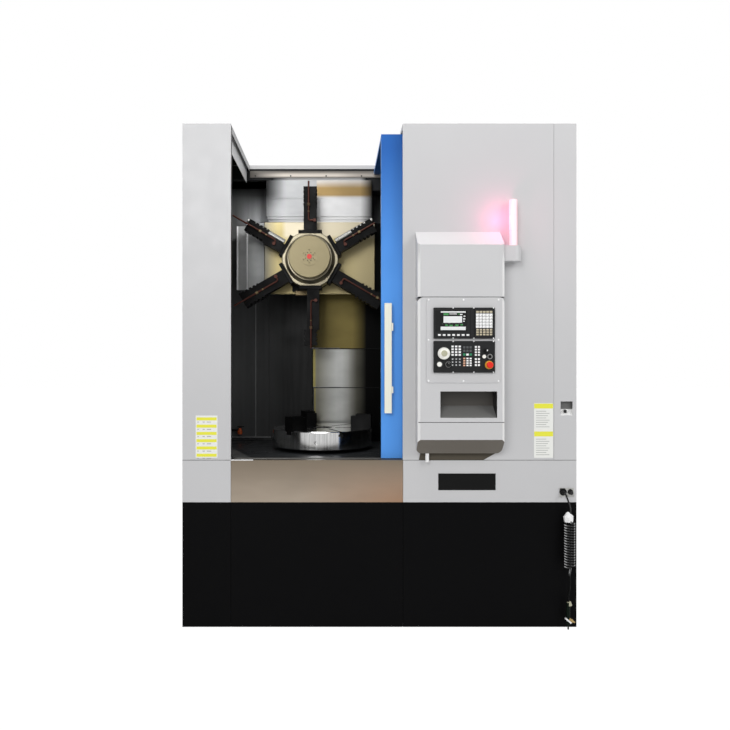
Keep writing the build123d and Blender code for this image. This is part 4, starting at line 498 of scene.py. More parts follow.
GREY = srgb(202, 202, 203)
PLASTICS = {
    "key_white": (252, 252, 251, 0.4), "key_grey": (84, 86, 88, 0.4), "key_beige": (200, 190, 164, 0.4),
    "key_green": (46, 142, 96, 0.4), "key_orange": (226, 176, 148, 0.4),
    "white_plastic": (252, 251, 244, 0.34), "red_plastic": (236, 40, 22, 0.3),
    "yellow_plastic": (240, 180, 60, 0.35), "orange_plastic": (226, 104, 52, 0.35),
}
MAT = {
    "grey": paint("grey_paint", GREY),
    "black": paint("black_paint", srgb(6, 6, 7), 0.5, 0.9, specular=0.06),
    # Door blue, and the paler blue of painted light towards the floor and on its left-facing side
    "blue": door_blue("blue_paint", srgb(26, 96, 178), srgb(86, 160, 245)),
    # Pillar grey, white on its inner side face as a painted highlight, with painted shade deeper in
    "pillar": faced_paint("pillar_paint", GREY, srgb(255, 255, 255), X, 0.5, 0.8, -1.138),
    # Roof grey, with painted shade on faces turned down
    "roof": faced_paint("roof_paint", srgb(198, 198, 198), BLACK_AND_SHADE, Z, -0.5, -0.8),
    "cream": paint("cream_paint", srgb(244, 243, 228), 0.34),
    # Chamber wall: the grey is painted shade, the near white painted light
    "chamber": chamber_sheet("chamber_sheet", srgb(103, 104, 104), srgb(240, 242, 245)),
    # Beam black, and the pale grey of painted light over the doorway
    "beam": beam_sheet("beam_black", srgb(24, 25, 27), srgb(178, 178, 178)),
    "pan": pan_sheet("pan_sheet", srgb(40, 42, 44), srgb(92, 93, 92)),
    "casting": casting("casting_paint", srgb(112, 114, 116)),
    # Apron tones of a painted reflection: darker at the top, paler towards the floor, warmer at one lower
    # corner
    "apron": warm_apron("apron_stainless", srgb(128, 116, 100), srgb(176, 162, 146), srgb(170, 132, 104)),
    "sill": brushed("sill_stainless", srgb(120, 119, 116), 0.4),
    # Rail steel, darkened by painted shade at its left end and towards the right
    "rail": rail_sheet("rail_steel", srgb(196, 188, 178)),
    # Upper cover tones, all painted reflections on steel
    "upper_cover": upper_cover_sheet(
        "upper_cover_steel", srgb(98, 99, 100), srgb(172, 173, 174), srgb(212, 212, 212), srgb(164, 138, 92)
    ),
    # Lower cover tones: the pale middle and the straw left edge are painted reflections
    "lower_cover": lower_cover_sheet(
        "lower_cover_steel", srgb(190, 191, 188), srgb(124, 122, 110), srgb(146, 136, 84)
    ),
    # Side covers: the pale tone at their left is a painted reflection
    "side_cover": cover_sheet(
        "side_cover_steel", srgb(124, 126, 126), srgb(216, 217, 216), 0.32, 0.8, (-1.1, -0.92), (-0.3, -0.02)
    ),
    # Top lower cover: straw, a painted golden reflection on the steel, with painted shade along its left
    # edge
    "straw": cover_sheet(
        "straw_steel", srgb(126, 113, 66), BLACK_AND_SHADE, 0.36, 0.5, (-0.49, -0.37), (-0.16, -0.04), 0.9
    ),
    # Pendant: the edge tone is a painted highlight on its bevels and the gland's own white
    "pendant": pendant_paint(
        "pendant_paint", GREY, srgb(244, 244, 243), srgb(112, 106, 97), srgb(118, 118, 116)
    ),
    # Slide plate: the grey is a painted reflection at its left, the pale tone a painted highlight along its
    # top
    "plate": slide_plate(
        "slide_plate", srgb(98, 100, 99), srgb(172, 158, 112), srgb(166, 154, 120), srgb(196, 189, 174)
    ),
    "turned": brushed("turned_steel", srgb(158, 150, 128), 0.34, 0.85, 0.75),
    "chuck": brushed("chuck_steel", srgb(240, 240, 239), 0.16, 0.6, stretch=TURNED),
    "cap": brushed("cap_steel", srgb(147, 136, 104), 0.45, 0.95, 0.5),
    "blackened": casting("blackened_steel", srgb(9, 9, 9), 0.12),
    "bar": brushed("tool_bar_steel", srgb(150, 150, 146), 0.3),
    "copper": brushed("copper", srgb(84, 46, 36), 0.5, metallic=0.6),
    "brass": brushed("brass", srgb(186, 160, 108), 0.3),
    "dull_brass": brushed("dull_brass", srgb(134, 118, 86), 0.45, metallic=0.7),
    "trim": paint("trim_grey", srgb(150, 151, 151), 0.45),
    "edge": plastic("edge_white", srgb(255, 255, 255), 0.4),
    "screw": brushed("screw_steel", srgb(190, 190, 188), 0.3),
    "black_screw": casting("black_screw", srgb(18, 18, 19)),
    "black_plastic": plastic("black_plastic", srgb(26, 27, 28), 0.5, specular=0.25),
    **{name: plastic(name, srgb(*levels), roughness) for name, (*levels, roughness) in PLASTICS.items()},
    "dial": plastic("dial_face", srgb(188, 186, 160), 0.4),
    "lamp": lamp_plastic("lamp_plastic", srgb(240, 224, 226), srgb(255, 130, 150)),
    "glass": glass("window_glass", srgb(190, 205, 208)),
    "rubber": plastic("black_rubber", srgb(16, 16, 17), 0.7, 300.0, 0.3, 0.2),
    # Hose: the pale tone is a painted highlight along the turns
    "hose": clear_hose("hose_plastic", srgb(12, 13, 13), srgb(206, 207, 207)),
    "gun": plastic("gun_plastic", srgb(8, 20, 12), 0.4, specular=0.08),
    "socket": socket_plate("socket_plate", srgb(186, 186, 182)),
    "label": paint("label_white", srgb(240, 241, 236), 0.5),
    "label_yellow": paint("label_yellow", srgb(238, 236, 70), 0.5),
    "label_line": paint("label_line", srgb(168, 169, 166), 0.5),
    "latch": latch_paint("latch_paint", srgb(96, 96, 95), srgb(236, 236, 235)),
    "name_plate": paint("name_plate_black", BLACK_AND_SHADE, 0.45, specular=0.15),
    # Dark brown of the painted shadow under the pendant's foot
    "foot": paint("foot_shadow_brown", srgb(82, 76, 65), 0.5, specular=0.2),
    "seam": paint("seam_dark", srgb(46, 47, 48), 0.7, specular=0.1),
    "screen_glow": paint("screen_white", srgb(236, 238, 238), 0.3),
    "screen_dark": paint("screen_black", srgb(12, 14, 14), 0.15),
    "screen_green": paint("screen_green", srgb(70, 150, 84), 0.3),
}

NODE_MATERIAL = {
    "casting": "base_casting column saddle",
    "black": "base_skirts",
    "grey": "grey_aprons front_panel corner_panel outer_panels control_plate stack_bracket",
    "pillar": "left_pillar",
    "roof": "roof",
    "apron": "stainless_apron",
    "pan": "floor_pan",
    "chamber": "inner_walls",
    "beam": "top_beam",
    "sill": "door_sill",
    "rail": "door_top_rail",
    "socket": "air_socket",
    "upper_cover": "upper_cover_fixed upper_cover_mid upper_cover_low",
    "lower_cover": "lower_cover_fixed lower_cover_mid",
    "side_cover": "cross_cover_ends cross_cover_left cross_cover_right",
    "straw": "lower_cover_top",
    "pendant": "pendant_box pendant_hood",
    "latch": "latch",
    "plate": "cross_slide",
    "turned": "turret_disc",
    "chuck": "chuck_body",
    "cap": "turret_cap",
    "bar": "tool_bars",
    "blackened": "spindle_housing turret_housing tool_holders jaw_1 jaw_2 jaw_3",
    "copper": "coolant_pipes",
    "black_plastic": "screen_unit operator_panel override_knob",
    "white_plastic": "handwheel",
    "red_plastic": "emergency_stop",
    "lamp": "stack_light",
    "blue": "door_panel door_lid",
    "glass": "door_window",
    "cream": "door_handle",
    "gun": "air_gun",
    "hose": "air_hose_lead air_hose_coil air_hose_tail",
}


def dress_nodes():
    for key, names in NODE_MATERIAL.items():
        for name in names.split():
            mesh = NODES[name].data
            mesh.materials.clear()
            mesh.materials.append(MAT[key].material)


dress_nodes()


class Shape:
    """Collects solids in one mesh, in metres in the shared frame"""

    def __init__(self):
        self.mesh = bmesh.new()

    def box(self, low, high, bevel=0.0, turn=None):
        low, high = Vector(low), Vector(high)
        made = bmesh.ops.create_cube(self.mesh, size=1.0)["verts"]
        bmesh.ops.scale(self.mesh, vec=high - low, verts=made)
        if turn is not None:
            bmesh.ops.rotate(self.mesh, matrix=turn, verts=made)
        bmesh.ops.translate(self.mesh, vec=(low + high) / 2, verts=made)
        if bevel:
            edges = list({edge for vert in made for edge in vert.link_edges})
            bmesh.ops.bevel(self.mesh, geom=edges, offset=bevel, segments=2, affect="EDGES", profile=0.5)
        return self

    def tile(self, low, high, face, lift, bevel=0.0, turn=None):
        """Box between two corners in x and z, standing out from a face that looks forward"""
        return self.box((low[0], face - lift, low[1]), (high[0], face, high[1]), bevel, turn)

    def rod(self, start, end, radius, end_radius=None, segments=24):
        start, end = Vector(start), Vector(end)
        axis = end - start
        turn = axis.to_track_quat("Z", "Y").to_matrix()
        bmesh.ops.create_cone(
            self.mesh,
            cap_ends=True,
            segments=segments,
            radius1=radius,
            radius2=radius if end_radius is None else end_radius,
            depth=axis.length,
            matrix=Matrix.Translation((start + end) / 2) @ turn.to_4x4(),
        )
        return self

    def knob(self, centre, face, lift, radius, end_radius=None, segments=24):
        """Round part at a centre in x and z, standing out from a face that looks forward"""
        x, z = centre
        return self.rod((x, face, z), (x, face - lift, z), radius, end_radius, segments)

    def plate(self, corners, depth):
        """Flat plate from corner points, thickened along depth"""
        verts = [self.mesh.verts.new(corner) for corner in corners]
        face = self.mesh.faces.new(verts)
        made = bmesh.ops.extrude_face_region(self.mesh, geom=[face])["geom"]
        moved = [item for item in made if isinstance(item, bmesh.types.BMVert)]
        bmesh.ops.translate(self.mesh, vec=Vector(depth), verts=moved)
        return self

    def done(self, name, material, body="machine", slot=None):
        """Makes the piece, on the fixed machine unless another body is named"""
        data = bpy.data.meshes.new(name)
        bmesh.ops.recalc_face_normals(self.mesh, faces=self.mesh.faces)
        self.mesh.to_mesh(data)
        self.mesh.free()
        data.materials.append(MAT[material].material)
        piece = add_object(name, data)
        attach(piece, body)
        return piece


def ray_share(nodes, links, levels):
    """Largest level among the kinds of ray that apply"""
    path = nodes.new("ShaderNodeLightPath")
    share = None
    for ray, level in levels:
        node = nodes.new("ShaderNodeMath")
        node.operation = "MULTIPLY"
        node.inputs[1].default_value = level
        links.new(path.outputs[ray], node.inputs[0])
        if share is not None:
            largest = nodes.new("ShaderNodeMath")
            largest.operation = "MAXIMUM"
            links.new(share, largest.inputs[0])
            links.new(node.outputs[0], largest.inputs[1])
            node = largest
        share = node.outputs[0]
    return share


def mix_shaders(tree, output_kind, levels, plain, white):
    """Plain, and white by the share of its rays"""
    nodes, links = tree.nodes, tree.links
    mixed = nodes.new("ShaderNodeMixShader")
    links.new(ray_share(nodes, links, levels), mixed.inputs[0])
    links.new(plain.outputs[0], mixed.inputs[1])
    links.new(white.outputs[0], mixed.inputs[2])
    links.new(mixed.outputs[0], nodes.new(output_kind).inputs[0])


FLOOR_SIZE = 40
FLOOR_DROP = 0.0005
FLOOR_GLOW = 1.05
FLOOR_LEVELS = (("Is Camera Ray", 0.95), ("Is Glossy Ray", 0.62))
WORLD_GLOW = 0.42
WORLD_LEVELS = (("Is Glossy Ray", 0.35), ("Is Camera Ray", 1.0), ("Is Transmission Ray", 1.0))


def make_stage():
    """Pale floor that the camera sees as almost white"""
    data = bpy.data.meshes.new("floor")
    mesh = bmesh.new()
    bmesh.ops.create_grid(mesh, x_segments=1, y_segments=1, size=FLOOR_SIZE)
    mesh.to_mesh(data)
    mesh.free()
    floor = add_object("floor", data)
    floor.location.z = -FLOOR_DROP
    material = bpy.data.materials.new("floor")
    material.use_nodes = True
    tree = material.node_tree
    tree.nodes.clear()
    matt = tree.nodes.new("ShaderNodeBsdfDiffuse")
    matt.inputs["Color"].default_value = (0.8, 0.8, 0.8, 1)
    white = tree.nodes.new("ShaderNodeEmission")
    white.inputs["Strength"].default_value = FLOOR_GLOW
    mix_shaders(tree, "ShaderNodeOutputMaterial", FLOOR_LEVELS, matt, white)
    data.materials.append(material)


def make_world():
    """White behind the machine and a plain level of light all round it"""
    world = bpy.data.worlds.new("world")
    bpy.context.scene.world = world
    world.use_nodes = True
    tree = world.node_tree
    tree.nodes.clear()
    room = tree.nodes.new("ShaderNodeBackground")
    room.inputs["Color"].default_value = (0.99, 0.99, 1.0, 1)
    room.inputs["Strength"].default_value = WORLD_GLOW
    white = tree.nodes.new("ShaderNodeBackground")
    white.inputs["Color"].default_value = (1, 1, 1, 1)
    mix_shaders(tree, "ShaderNodeOutputWorld", WORLD_LEVELS, room, white)


def add_lamp(name, kind, place, power, target=None):
    """A lamp at a place, turned towards its target"""
    data = bpy.data.lights.new(name, kind)
    data.energy = power
    lamp = add_object(name, data)
    lamp.location = place
    if target is not None:
        lamp.rotation_euler = (Vector(target) - Vector(place)).to_track_quat("-Z", "Y").to_euler()
    return data


# Each square lamp: its place, power, target and size
SQUARE_LAMPS = {
    "front_lamp": ((-2.2, -7.5, 4.4), 190, (0, 0, 1.6), 3.0),
    "side_lamp": ((4.5, -5.0, 4.6), 110, (0, 0, 1.6), 2.5),
    "top_lamp": ((-0.7, -1.5, 6.0), 60, (-0.5, 0.0, 2.9), 1.6),
}


def make_lamps():
    """Square lamps, the pink glow of the lit stack light, and light through the open top"""
    for name, (place, power, target, size) in SQUARE_LAMPS.items():
        square = add_lamp(name, "AREA", place, power, target)
        square.shape = "SQUARE"
        square.size = size
    glow = add_lamp("stack_glow", "POINT", (0.83, -1.275, 2.84), 0.9)
    glow.color = (1.0, 0.08, 0.34)
    glow.shadow_soft_size = 0.02
    spot = add_lamp("wall_lamp", "SPOT", (-0.7, -0.95, 3.25), 28.0, (-1.12, 0.237, 3.02))
    spot.spot_size = radians(34.0)
    spot.spot_blend = 1.0
    spot.shadow_soft_size = 0.08


make_stage()
make_world()
make_lamps()
bpy.context.scene.view_settings.view_transform = "Standard"

# Places on the front, in metres, worked out from the frame
SCREEN_LOW, SCREEN_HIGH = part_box("screen_unit")
PANEL_LOW, PANEL_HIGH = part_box("operator_panel")
PLATE_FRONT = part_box("control_plate")[0].y
BOX_LOW, BOX_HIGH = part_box("pendant_box")
KNOB_LOW, KNOB_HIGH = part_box("override_knob")
WHEEL_LOW, WHEEL_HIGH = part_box("handwheel")
PANEL_FRONT = PANEL_LOW.y + 0.008
SCREEN_FRONT = SCREEN_LOW.y
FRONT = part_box("front_panel")[0].y

# Heights that keys, printed marks and thin parts stand out by
KEY_LIFT = 0.003
KEY_BEVEL = 0.0008
MARK_LIFT = 0.0004
INK_LIFT = 0.0003
LABEL_LIFT = 0.0006

# Corners in x and z of what the display shows
DISPLAY_FIELDS = (
    ((0.42, 2.106), (0.545, 2.15)), ((0.401, 2.057), (0.569, 2.08)), ((0.403, 2.174), (0.569, 2.183)),
    ((0.459, 2.163), (0.51, 2.168)), ((0.531, 2.158), (0.548, 2.166)), ((0.552, 2.128), (0.566, 2.136)),
    ((0.552, 2.113), (0.562, 2.12)), ((0.555, 2.146), (0.566, 2.154)),
)
DISPLAY_MARKS = (
    ((0.421, 2.157), (0.455, 2.17)), ((0.516, 2.162), (0.53, 2.167)), ((0.432, 2.086), (0.45, 2.094)),
    ((0.46, 2.083), (0.482, 2.092)), ((0.5, 2.084), (0.52, 2.094)), ((0.534, 2.088), (0.55, 2.096)),
)
DISPLAY_SEGMENTS = [((0.41 + step * 0.022, 2.0965), (0.419 + step * 0.022, 2.1005)) for step in range(7)]

# Left and right of the keypad, and the bottom, pitch and count of its rows of white keys
KEYPAD = (0.637, 0.75)
KEYPAD_BOTTOM = 2.07
KEYPAD_ROW = 0.0198
KEYPAD_KEYS = 5

# Key groups of the screen unit with their material: left, right, bottom, top, columns, rows and gap
SCREEN_KEYS = {
    "soft_keys": ("key_white", ((0.3765, 0.6, 2.014, 2.034, 7, 1, 0.42),)),
    "keypad_white": ("key_white", ((*KEYPAD, KEYPAD_BOTTOM, 2.169, 5, 5, 0.11),)),
    "keypad_beige": ("key_beige", ((*KEYPAD, 2.019, 2.067, 5, 3, 0.28), (*KEYPAD, 2.171, 2.187, 5, 1, 0.2))),
}

# Key groups of the operator panel by colour, in the same order
KEY_GROUPS = {
    "white": (
        (0.469, 0.541, 1.881, 1.956, 3, 4, 0.34), (0.5703, 0.5917, 1.883, 1.902, 1, 1, 0.26),
        (0.5703, 0.613, 1.812, 1.874, 2, 4, 0.34), (0.627, 0.668, 1.881, 1.953, 2, 4, 0.34),
        (0.627, 0.668, 1.812, 1.872, 2, 3, 0.34),
    ),
    "grey": ((0.469, 0.541, 1.812, 1.872, 3, 3, 0.34), (0.549, 0.613, 1.906, 1.953, 3, 2, 0.34)),
    "green": ((0.549, 0.5703, 1.883, 1.902, 1, 1, 0.26), (0.5917, 0.613, 1.883, 1.902, 1, 1, 0.26)),
    "orange": ((0.549, 0.5703, 1.812, 1.874, 1, 4, 0.34),),
}

# Centres in x and z of the round controls on the operator panel
STOP_BUTTON = (0.727, 1.823)
LEFT_BUTTON = (0.393, 1.827)
RIGHT_BUTTON = (0.693, 1.879)
KEY_SWITCH = (0.7315, 1.879)
PLUG = (0.453, 1.826)
SELECTOR = (0.704, 1.917)
SELECTOR_MARK = (0.7115, 1.9205)


def key_block(shape, left, right, bottom, top, columns, rows, gap, front):
    """Rows of key caps over a rectangle on the pendant's front"""
    pitch_x, pitch_z = (right - left) / columns, (top - bottom) / rows
    margin_x, margin_z = pitch_x * gap / 2, pitch_z * gap / 2
    for column in range(columns):
        for row in range(rows):
            x, z = left + column * pitch_x, bottom + row * pitch_z
            low = (x + margin_x, z + margin_z)
            high = (x + pitch_x - margin_x, z + pitch_z - margin_z)
            shape.tile(low, high, front, KEY_LIFT, KEY_BEVEL)


def make_keys(name, material, groups, front, slot="white_plastic"):
    """Piece with all the key caps of one colour"""
    keys = Shape()
    for group in groups:
        key_block(keys, *group, front)
    keys.done(name, material, slot=slot)


def square_mark(shape, x, z, half, front):
    """Small square printed on a key cap"""
    shape.tile((x - half, z - half), (x + half, z + half), front - KEY_LIFT + 0.0001, MARK_LIFT)


def make_screen():
    """Display, soft keys and keypad of the screen unit"""
    face = SCREEN_FRONT
    lit = face - MARK_LIFT
    Shape().box((0.3665, lit, 2.0475), (0.579, face + 0.004, 2.1885)).done("display_back", "screen_dark")
    for corners, name, material in (
        (DISPLAY_FIELDS, "display_fields", "screen_glow"),
        (DISPLAY_MARKS, "display_marks", "screen_green"),
        (DISPLAY_SEGMENTS, "display_segments", "key_grey"),
    ):
        shown = Shape()
        for low, high in corners:
            shown.tile(low, high, lit, MARK_LIFT)
        shown.done(name, material)
    seams = Shape().tile((0.599, 2.002), (0.602, 2.206), face, 0.001)
    seams.tile((0.6245, 2.002), (0.6305, 2.206), face, 0.0012)
    seams.done("screen_seams", "rubber")
    for name, (material, groups) in SCREEN_KEYS.items():
        make_keys(name, material, groups, face)
    marks = Shape()
    for row in range(KEYPAD_KEYS):
        for column in range(KEYPAD_KEYS):
            x = KEYPAD[0] + (column + 0.68) * (KEYPAD[1] - KEYPAD[0]) / KEYPAD_KEYS
            square_mark(marks, x, KEYPAD_BOTTOM + (row + 0.34) * KEYPAD_ROW, 0.0022, face)
    marks.done("keypad_marks", "label_line")


def make_operator_keys():
    """Key groups, switches and lamps of the operator panel"""
    face = PANEL_FRONT
    for colour, groups in KEY_GROUPS.items():
        slot = "black_plastic" if colour == "grey" else "white_plastic"
        make_keys("panel_keys_" + colour, "key_" + colour, groups, face, slot)
    glyphs = Shape()
    for column in range(3):
        for row in range(3):
            square_mark(glyphs, 0.481 + column * 0.024, 1.822 + row * 0.02, 0.003, face)
    glyphs.done("panel_key_marks", "key_white")
    Shape().knob(STOP_BUTTON, face, 0.0083, 0.0285, 0.027, 40).done("stop_ring", "yellow_plastic")
    buttons = Shape().knob(LEFT_BUTTON, face, 0.006, 0.0155).knob(RIGHT_BUTTON, face, 0.006, 0.0125)
    buttons.done("panel_buttons", "white_plastic", slot="white_plastic")
    rings = Shape().knob(LEFT_BUTTON, face, 0.003, 0.019, 0.0175)
    rings.knob(KEY_SWITCH, face, 0.004, 0.0185, 0.0165, 32)
    rings.knob(PLUG, face, 0.0015, 0.0205, 0.0195, 32)
    rings.done("button_rings", "screw")
    switch = Shape().knob(KEY_SWITCH, face - 0.004, 0.003, 0.0115)
    switch.tile((0.73, 1.867), (0.733, 1.891), face - 0.007, 0.013, 0.0008)
    switch.knob(PLUG, face - 0.0015, MARK_LIFT, 0.0175)
    switch.done("key_switch", "rubber")
    selector = Shape().knob(SELECTOR, face, 0.01, 0.015)
    selector.tile((0.7, 1.904), (0.708, 1.93), face - 0.01, 0.008, 0.001)
    selector.done("mode_selector", "rubber")
    Shape().knob(SELECTOR_MARK, face - 0.01, 0.0012, 0.0055).done("selector_mark", "key_white")


DIAL_TICKS = 40
DIAL_RADIUS = 0.036


def make_dials():
    """Faces and marks of the handwheel and the override knob"""
    centre = (WHEEL_LOW + WHEEL_HIGH) / 2
    disc_y = WHEEL_LOW.y + (WHEEL_HIGH.y - WHEEL_LOW.y) * 0.25
    Shape().knob((centre.x, centre.z), WHEEL_LOW.y, 0.0006, 0.0205, segments=40).done(
        "dial_face", "dial", "handwheel"
    )
    ticks = Shape()
    for step in range(DIAL_TICKS):
        angle = 2 * pi * step / DIAL_TICKS
        x, z = centre.x + DIAL_RADIUS * cos(angle), centre.z + DIAL_RADIUS * sin(angle)
        turn = Matrix.Rotation(-angle, 3, "Y")
        ticks.tile((x - 0.0016, z - 0.0004), (x + 0.0016, z + 0.0004), disc_y, 0.0006, turn=turn)
    ticks.done("dial_ticks", "rubber", "handwheel")
    knob = (KNOB_LOW + KNOB_HIGH) / 2
    low, high = (knob.x - 0.0007, knob.z + 0.004), (knob.x + 0.0007, knob.z + 0.0135)
    Shape().tile(low, high, KNOB_LOW.y, MARK_LIFT).done("knob_mark", "key_white", "override_knob")


make_screen()
make_operator_keys()
make_dials()

# Lift and corners of the dark plate below the pendant's foot, a painted shadow
SHADOW_PLATE_LIFT = 0.0012
SHADOW_PLATE_CORNERS = (0.274, 1.1615), (0.284, 1.2125), (0.815, 1.2125), (0.725, 1.1615)


def make_pendant_details():
    """Screws and dark joints of the pendant, and a dark plate under it, a painted shadow below its foot"""
    screws = Shape()
    middle = (SCREEN_LOW.z + PANEL_HIGH.z) / 2
    spots = [(x, z) for x in (0.322, 0.557, 0.793) for z in (1.715, 2.262)]
    spots += [(0.322, middle), (0.793, middle)]
    for spot in spots:
        screws.knob(spot, PLATE_FRONT, 0.003, 0.0065, 0.0055)
    screws.done("plate_screws", "edge")
    clips = Shape()
    for x in (0.485, 0.624, 0.756):
        for z in (SCREEN_LOW.z + 0.0025, SCREEN_HIGH.z - 0.0025):
            clips.knob((x, z), SCREEN_FRONT, 0.0015, 0.0042, segments=12)
        for z in (PANEL_LOW.z + 0.003, PANEL_HIGH.z - 0.003):
            clips.knob((x, z), PANEL_FRONT, 0.0015, 0.0042, segments=12)
    clips.done("unit_screws", "edge")
    joints = Shape()
    left, right, front = BOX_LOW.x + 0.004, BOX_HIGH.x - 0.004, BOX_LOW.y
    joints.box((left, front - 0.0002, 2.2794), (right, front + 0.05, 2.2826))
    joints.box((left, front + 0.0006, 1.4332), (right, front + 0.0039, 1.4368))
    joints.done("pendant_joints", "rubber")
    # Dark plate on the panel below the foot: a painted shadow
    shadow_plate = Shape()
    shadow_plate.plate([(x, FRONT - SHADOW_PLATE_LIFT, z) for x, z in SHADOW_PLATE_CORNERS], (0.0, SHADOW_PLATE_LIFT, 0.0))
    shadow_plate.done("foot_shadow_plate", "foot")


make_pendant_details()


def make_labels():
    """Bare label plates, the bare name plate, dark joints between the front panels, and a white strip on the
    sill as a painted highlight
    """
    front = FRONT - LABEL_LIFT
    white, bands, lines = Shape(), Shape(), Shape()
    white.tile((-1.278, 1.176), (-1.126, 1.47), FRONT, LABEL_LIFT)
    for band in range(6):
        z = 1.456 - band * 0.0505
        bands.tile((-1.272, z - 0.02), (-1.132, z + 0.001), front, INK_LIFT)
        for start, end in ((-1.266, -1.256), (-1.23, -1.214), (-1.2, -1.17)):
            lines.tile((start, z - 0.034), (end, z - 0.029), front, INK_LIFT)
    white.tile((1.075, 1.176), (1.208, 1.556), FRONT, LABEL_LIFT)
    for z in (1.552, 1.358):
        bands.tile((1.076, z - 0.033), (1.207, z + 0.001), front, INK_LIFT)
        for row in range(8):
            low = z - 0.054 - row * 0.0155
            lines.tile((1.088, low), (1.16 + 0.011 * (row * 5 % 3), low + 0.0035), front, INK_LIFT)
    white.done("label_plates", "label")
    bands.done("label_bands", "label_yellow")
    lines.done("label_lines", "label_line")
    Shape().tile((0.409, 0.951), (0.808, 1.067), FRONT, 0.002, 0.0008).done("name_plate", "name_plate")
    seams = Shape()
    for left, right in ((-1.37, -1.034), (0.163, 1.37)):
        seams.tile((left, 1.158), (right, 1.161), FRONT, MARK_LIFT)
    seams.done("panel_joints", "seam")
    # White strip along the sill's front edge: a painted highlight
    Shape().tile((-1.034, 1.1575), (-0.878, 1.1635), FRONT, MARK_LIFT).done("sill_edge", "edge")


def make_socket_mouths():
    """Black discs in the mouths of the air socket's couplings: painted shade in their holes"""
    low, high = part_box("air_socket")
    middle = (low.z + high.z) / 2 + 0.004
    face = FRONT - 0.0055
    discs = Shape()
    for x, radius in ((1.275, 0.025), (1.325, 0.019)):
        discs.rod((x, face - 0.002, middle), (x, face, middle), radius)
    discs.tile((1.2535, middle - 0.004), (1.29, middle + 0.024), face, 0.0019)
    discs.done("socket_mouths", "rubber")


make_labels()
make_socket_mouths()

DOOR_TRAVEL = 1.065
RAIL_SCREWS = 8
WALL_Y = 0.237
WALL_FOOT = 1.176
WALL_TOP = 2.5
TAP_X = -1.153
TAP_Y = WALL_Y - 0.03
BODY_Y = WALL_Y - 0.045


def make_chamber_details():
    """Roof lip, rail screws, white strips on the covers' left edges as painted highlights, and the oil block
    """
    lip_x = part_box("door_panel")[0].x - DOOR_TRAVEL - 0.008
    Shape().box((lip_x - 0.003, -1.08, 3.35), (lip_x, -0.1, 3.496)).done("roof_lip", "edge")
    rail_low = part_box("door_top_rail")[0]
    screws = Shape()
    for step in range(RAIL_SCREWS):
        screws.knob((-0.985 + 0.299 * step, rail_low.z + 0.013), rail_low.y, 0.001, 0.0065)
    screws.done("rail_screws", "black_screw")
    # White strips on the covers' left edges: painted highlights
    for name, body in (("cross_cover_ends", "z_saddle"), ("cross_cover_left", "left_cover")):
        low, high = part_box(name)
        Shape().tile((low.x, low.z), (low.x + 0.012, high.z), low.y, 0.0012).done(
            name + "_edge", "edge", body
        )
    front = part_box("cross_slide")[0].y
    Shape().box((-0.665, front - 0.05, 2.425), (-0.545, front, 2.5), 0.003).done(
        "oil_block", "blackened", "x_slide"
    )
    Shape().box((-0.64, front - 0.062, 2.392), (-0.52, front, 2.428), 0.003).rod(
        (-0.525, front - 0.03, 2.428), (-0.525, front - 0.03, 2.47), 0.008
    ).done("oil_manifold", "dull_brass", "x_slide")


def make_wall_fittings():
    """Ledge, trim lines and tap on the chamber's rear wall"""
    trim = Shape().tile((-1.33, 1.168), (-0.883, WALL_FOOT), WALL_Y, 0.03)
    trim.tile((-0.913, WALL_FOOT), (-0.902, WALL_TOP), WALL_Y, 0.006)
    trim.tile((-1.022, WALL_FOOT), (-1.015, WALL_TOP), WALL_Y, 0.003)
    trim.done("wall_trim", "trim")
    pipe = Shape().rod((TAP_X, WALL_Y, 1.236), (TAP_X, WALL_Y - 0.05, 1.236), 0.012)
    pipe.rod((TAP_X, TAP_Y, 1.236), (TAP_X, TAP_Y, 1.262), 0.01)
    pipe.tile((-1.18, 1.262), (-1.12, 1.27), TAP_Y + 0.006, 0.012, 0.002)
    pipe.rod((TAP_X, TAP_Y, 1.236), (-1.33, TAP_Y, 1.23), 0.009)
    pipe.done("tap_pipe", "black_screw")
    tap = Shape().rod((TAP_X, BODY_Y, 1.2), (TAP_X, BODY_Y, 1.221), 0.017, 0.022)
    tap.rod((TAP_X, BODY_Y, 1.221), (TAP_X, BODY_Y, 1.254), 0.022, 0.008)
    tap.done("tap_body", "orange_plastic")


def make_cover_wipers():
    """Black wiper along the lower edge of each moving cover, and a pale strip above its left end, a painted
    highlight
    """
    for name, body in (("lower_cover_top", "z_saddle"), ("lower_cover_mid", "lower_cover")):
        low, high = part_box(name)
        middle = low.z + 0.006
        Shape().tile((low.x, low.z), (high.x, middle), low.y, 0.001).done(name + "_wiper", "rubber", body)
        # Pale strip above the wiper's left end: a painted highlight
        Shape().tile((low.x, middle), (low.x + 0.24, low.z + 0.01), low.y, 0.0008).done(
            name + "_end_highlight", "trim", body
        )


make_chamber_details()
make_wall_fittings()
make_cover_wipers()

GLASS_LAP = 0.0175
OPENING_CORNER = 0.06
GASKET_SECTION = (-0.006, 0.0), (-0.006, 0.002), (0.004, 0.004), (0.014, 0.0035), (0.016, 0.0)


def rounded(low, high, radius, y):
    """Corner points of a rounded rectangle in a vertical plane"""
    points = []
    for corner in range(4):
        x = high[0] - radius if corner in (0, 3) else low[0] + radius
        z = high[1] - radius if corner in (0, 1) else low[1] + radius
        for step in range(7):
            angle = radians(90 * corner + 15 * step)
            points.append((x + radius * cos(angle), y, z + radius * sin(angle)))
    return points


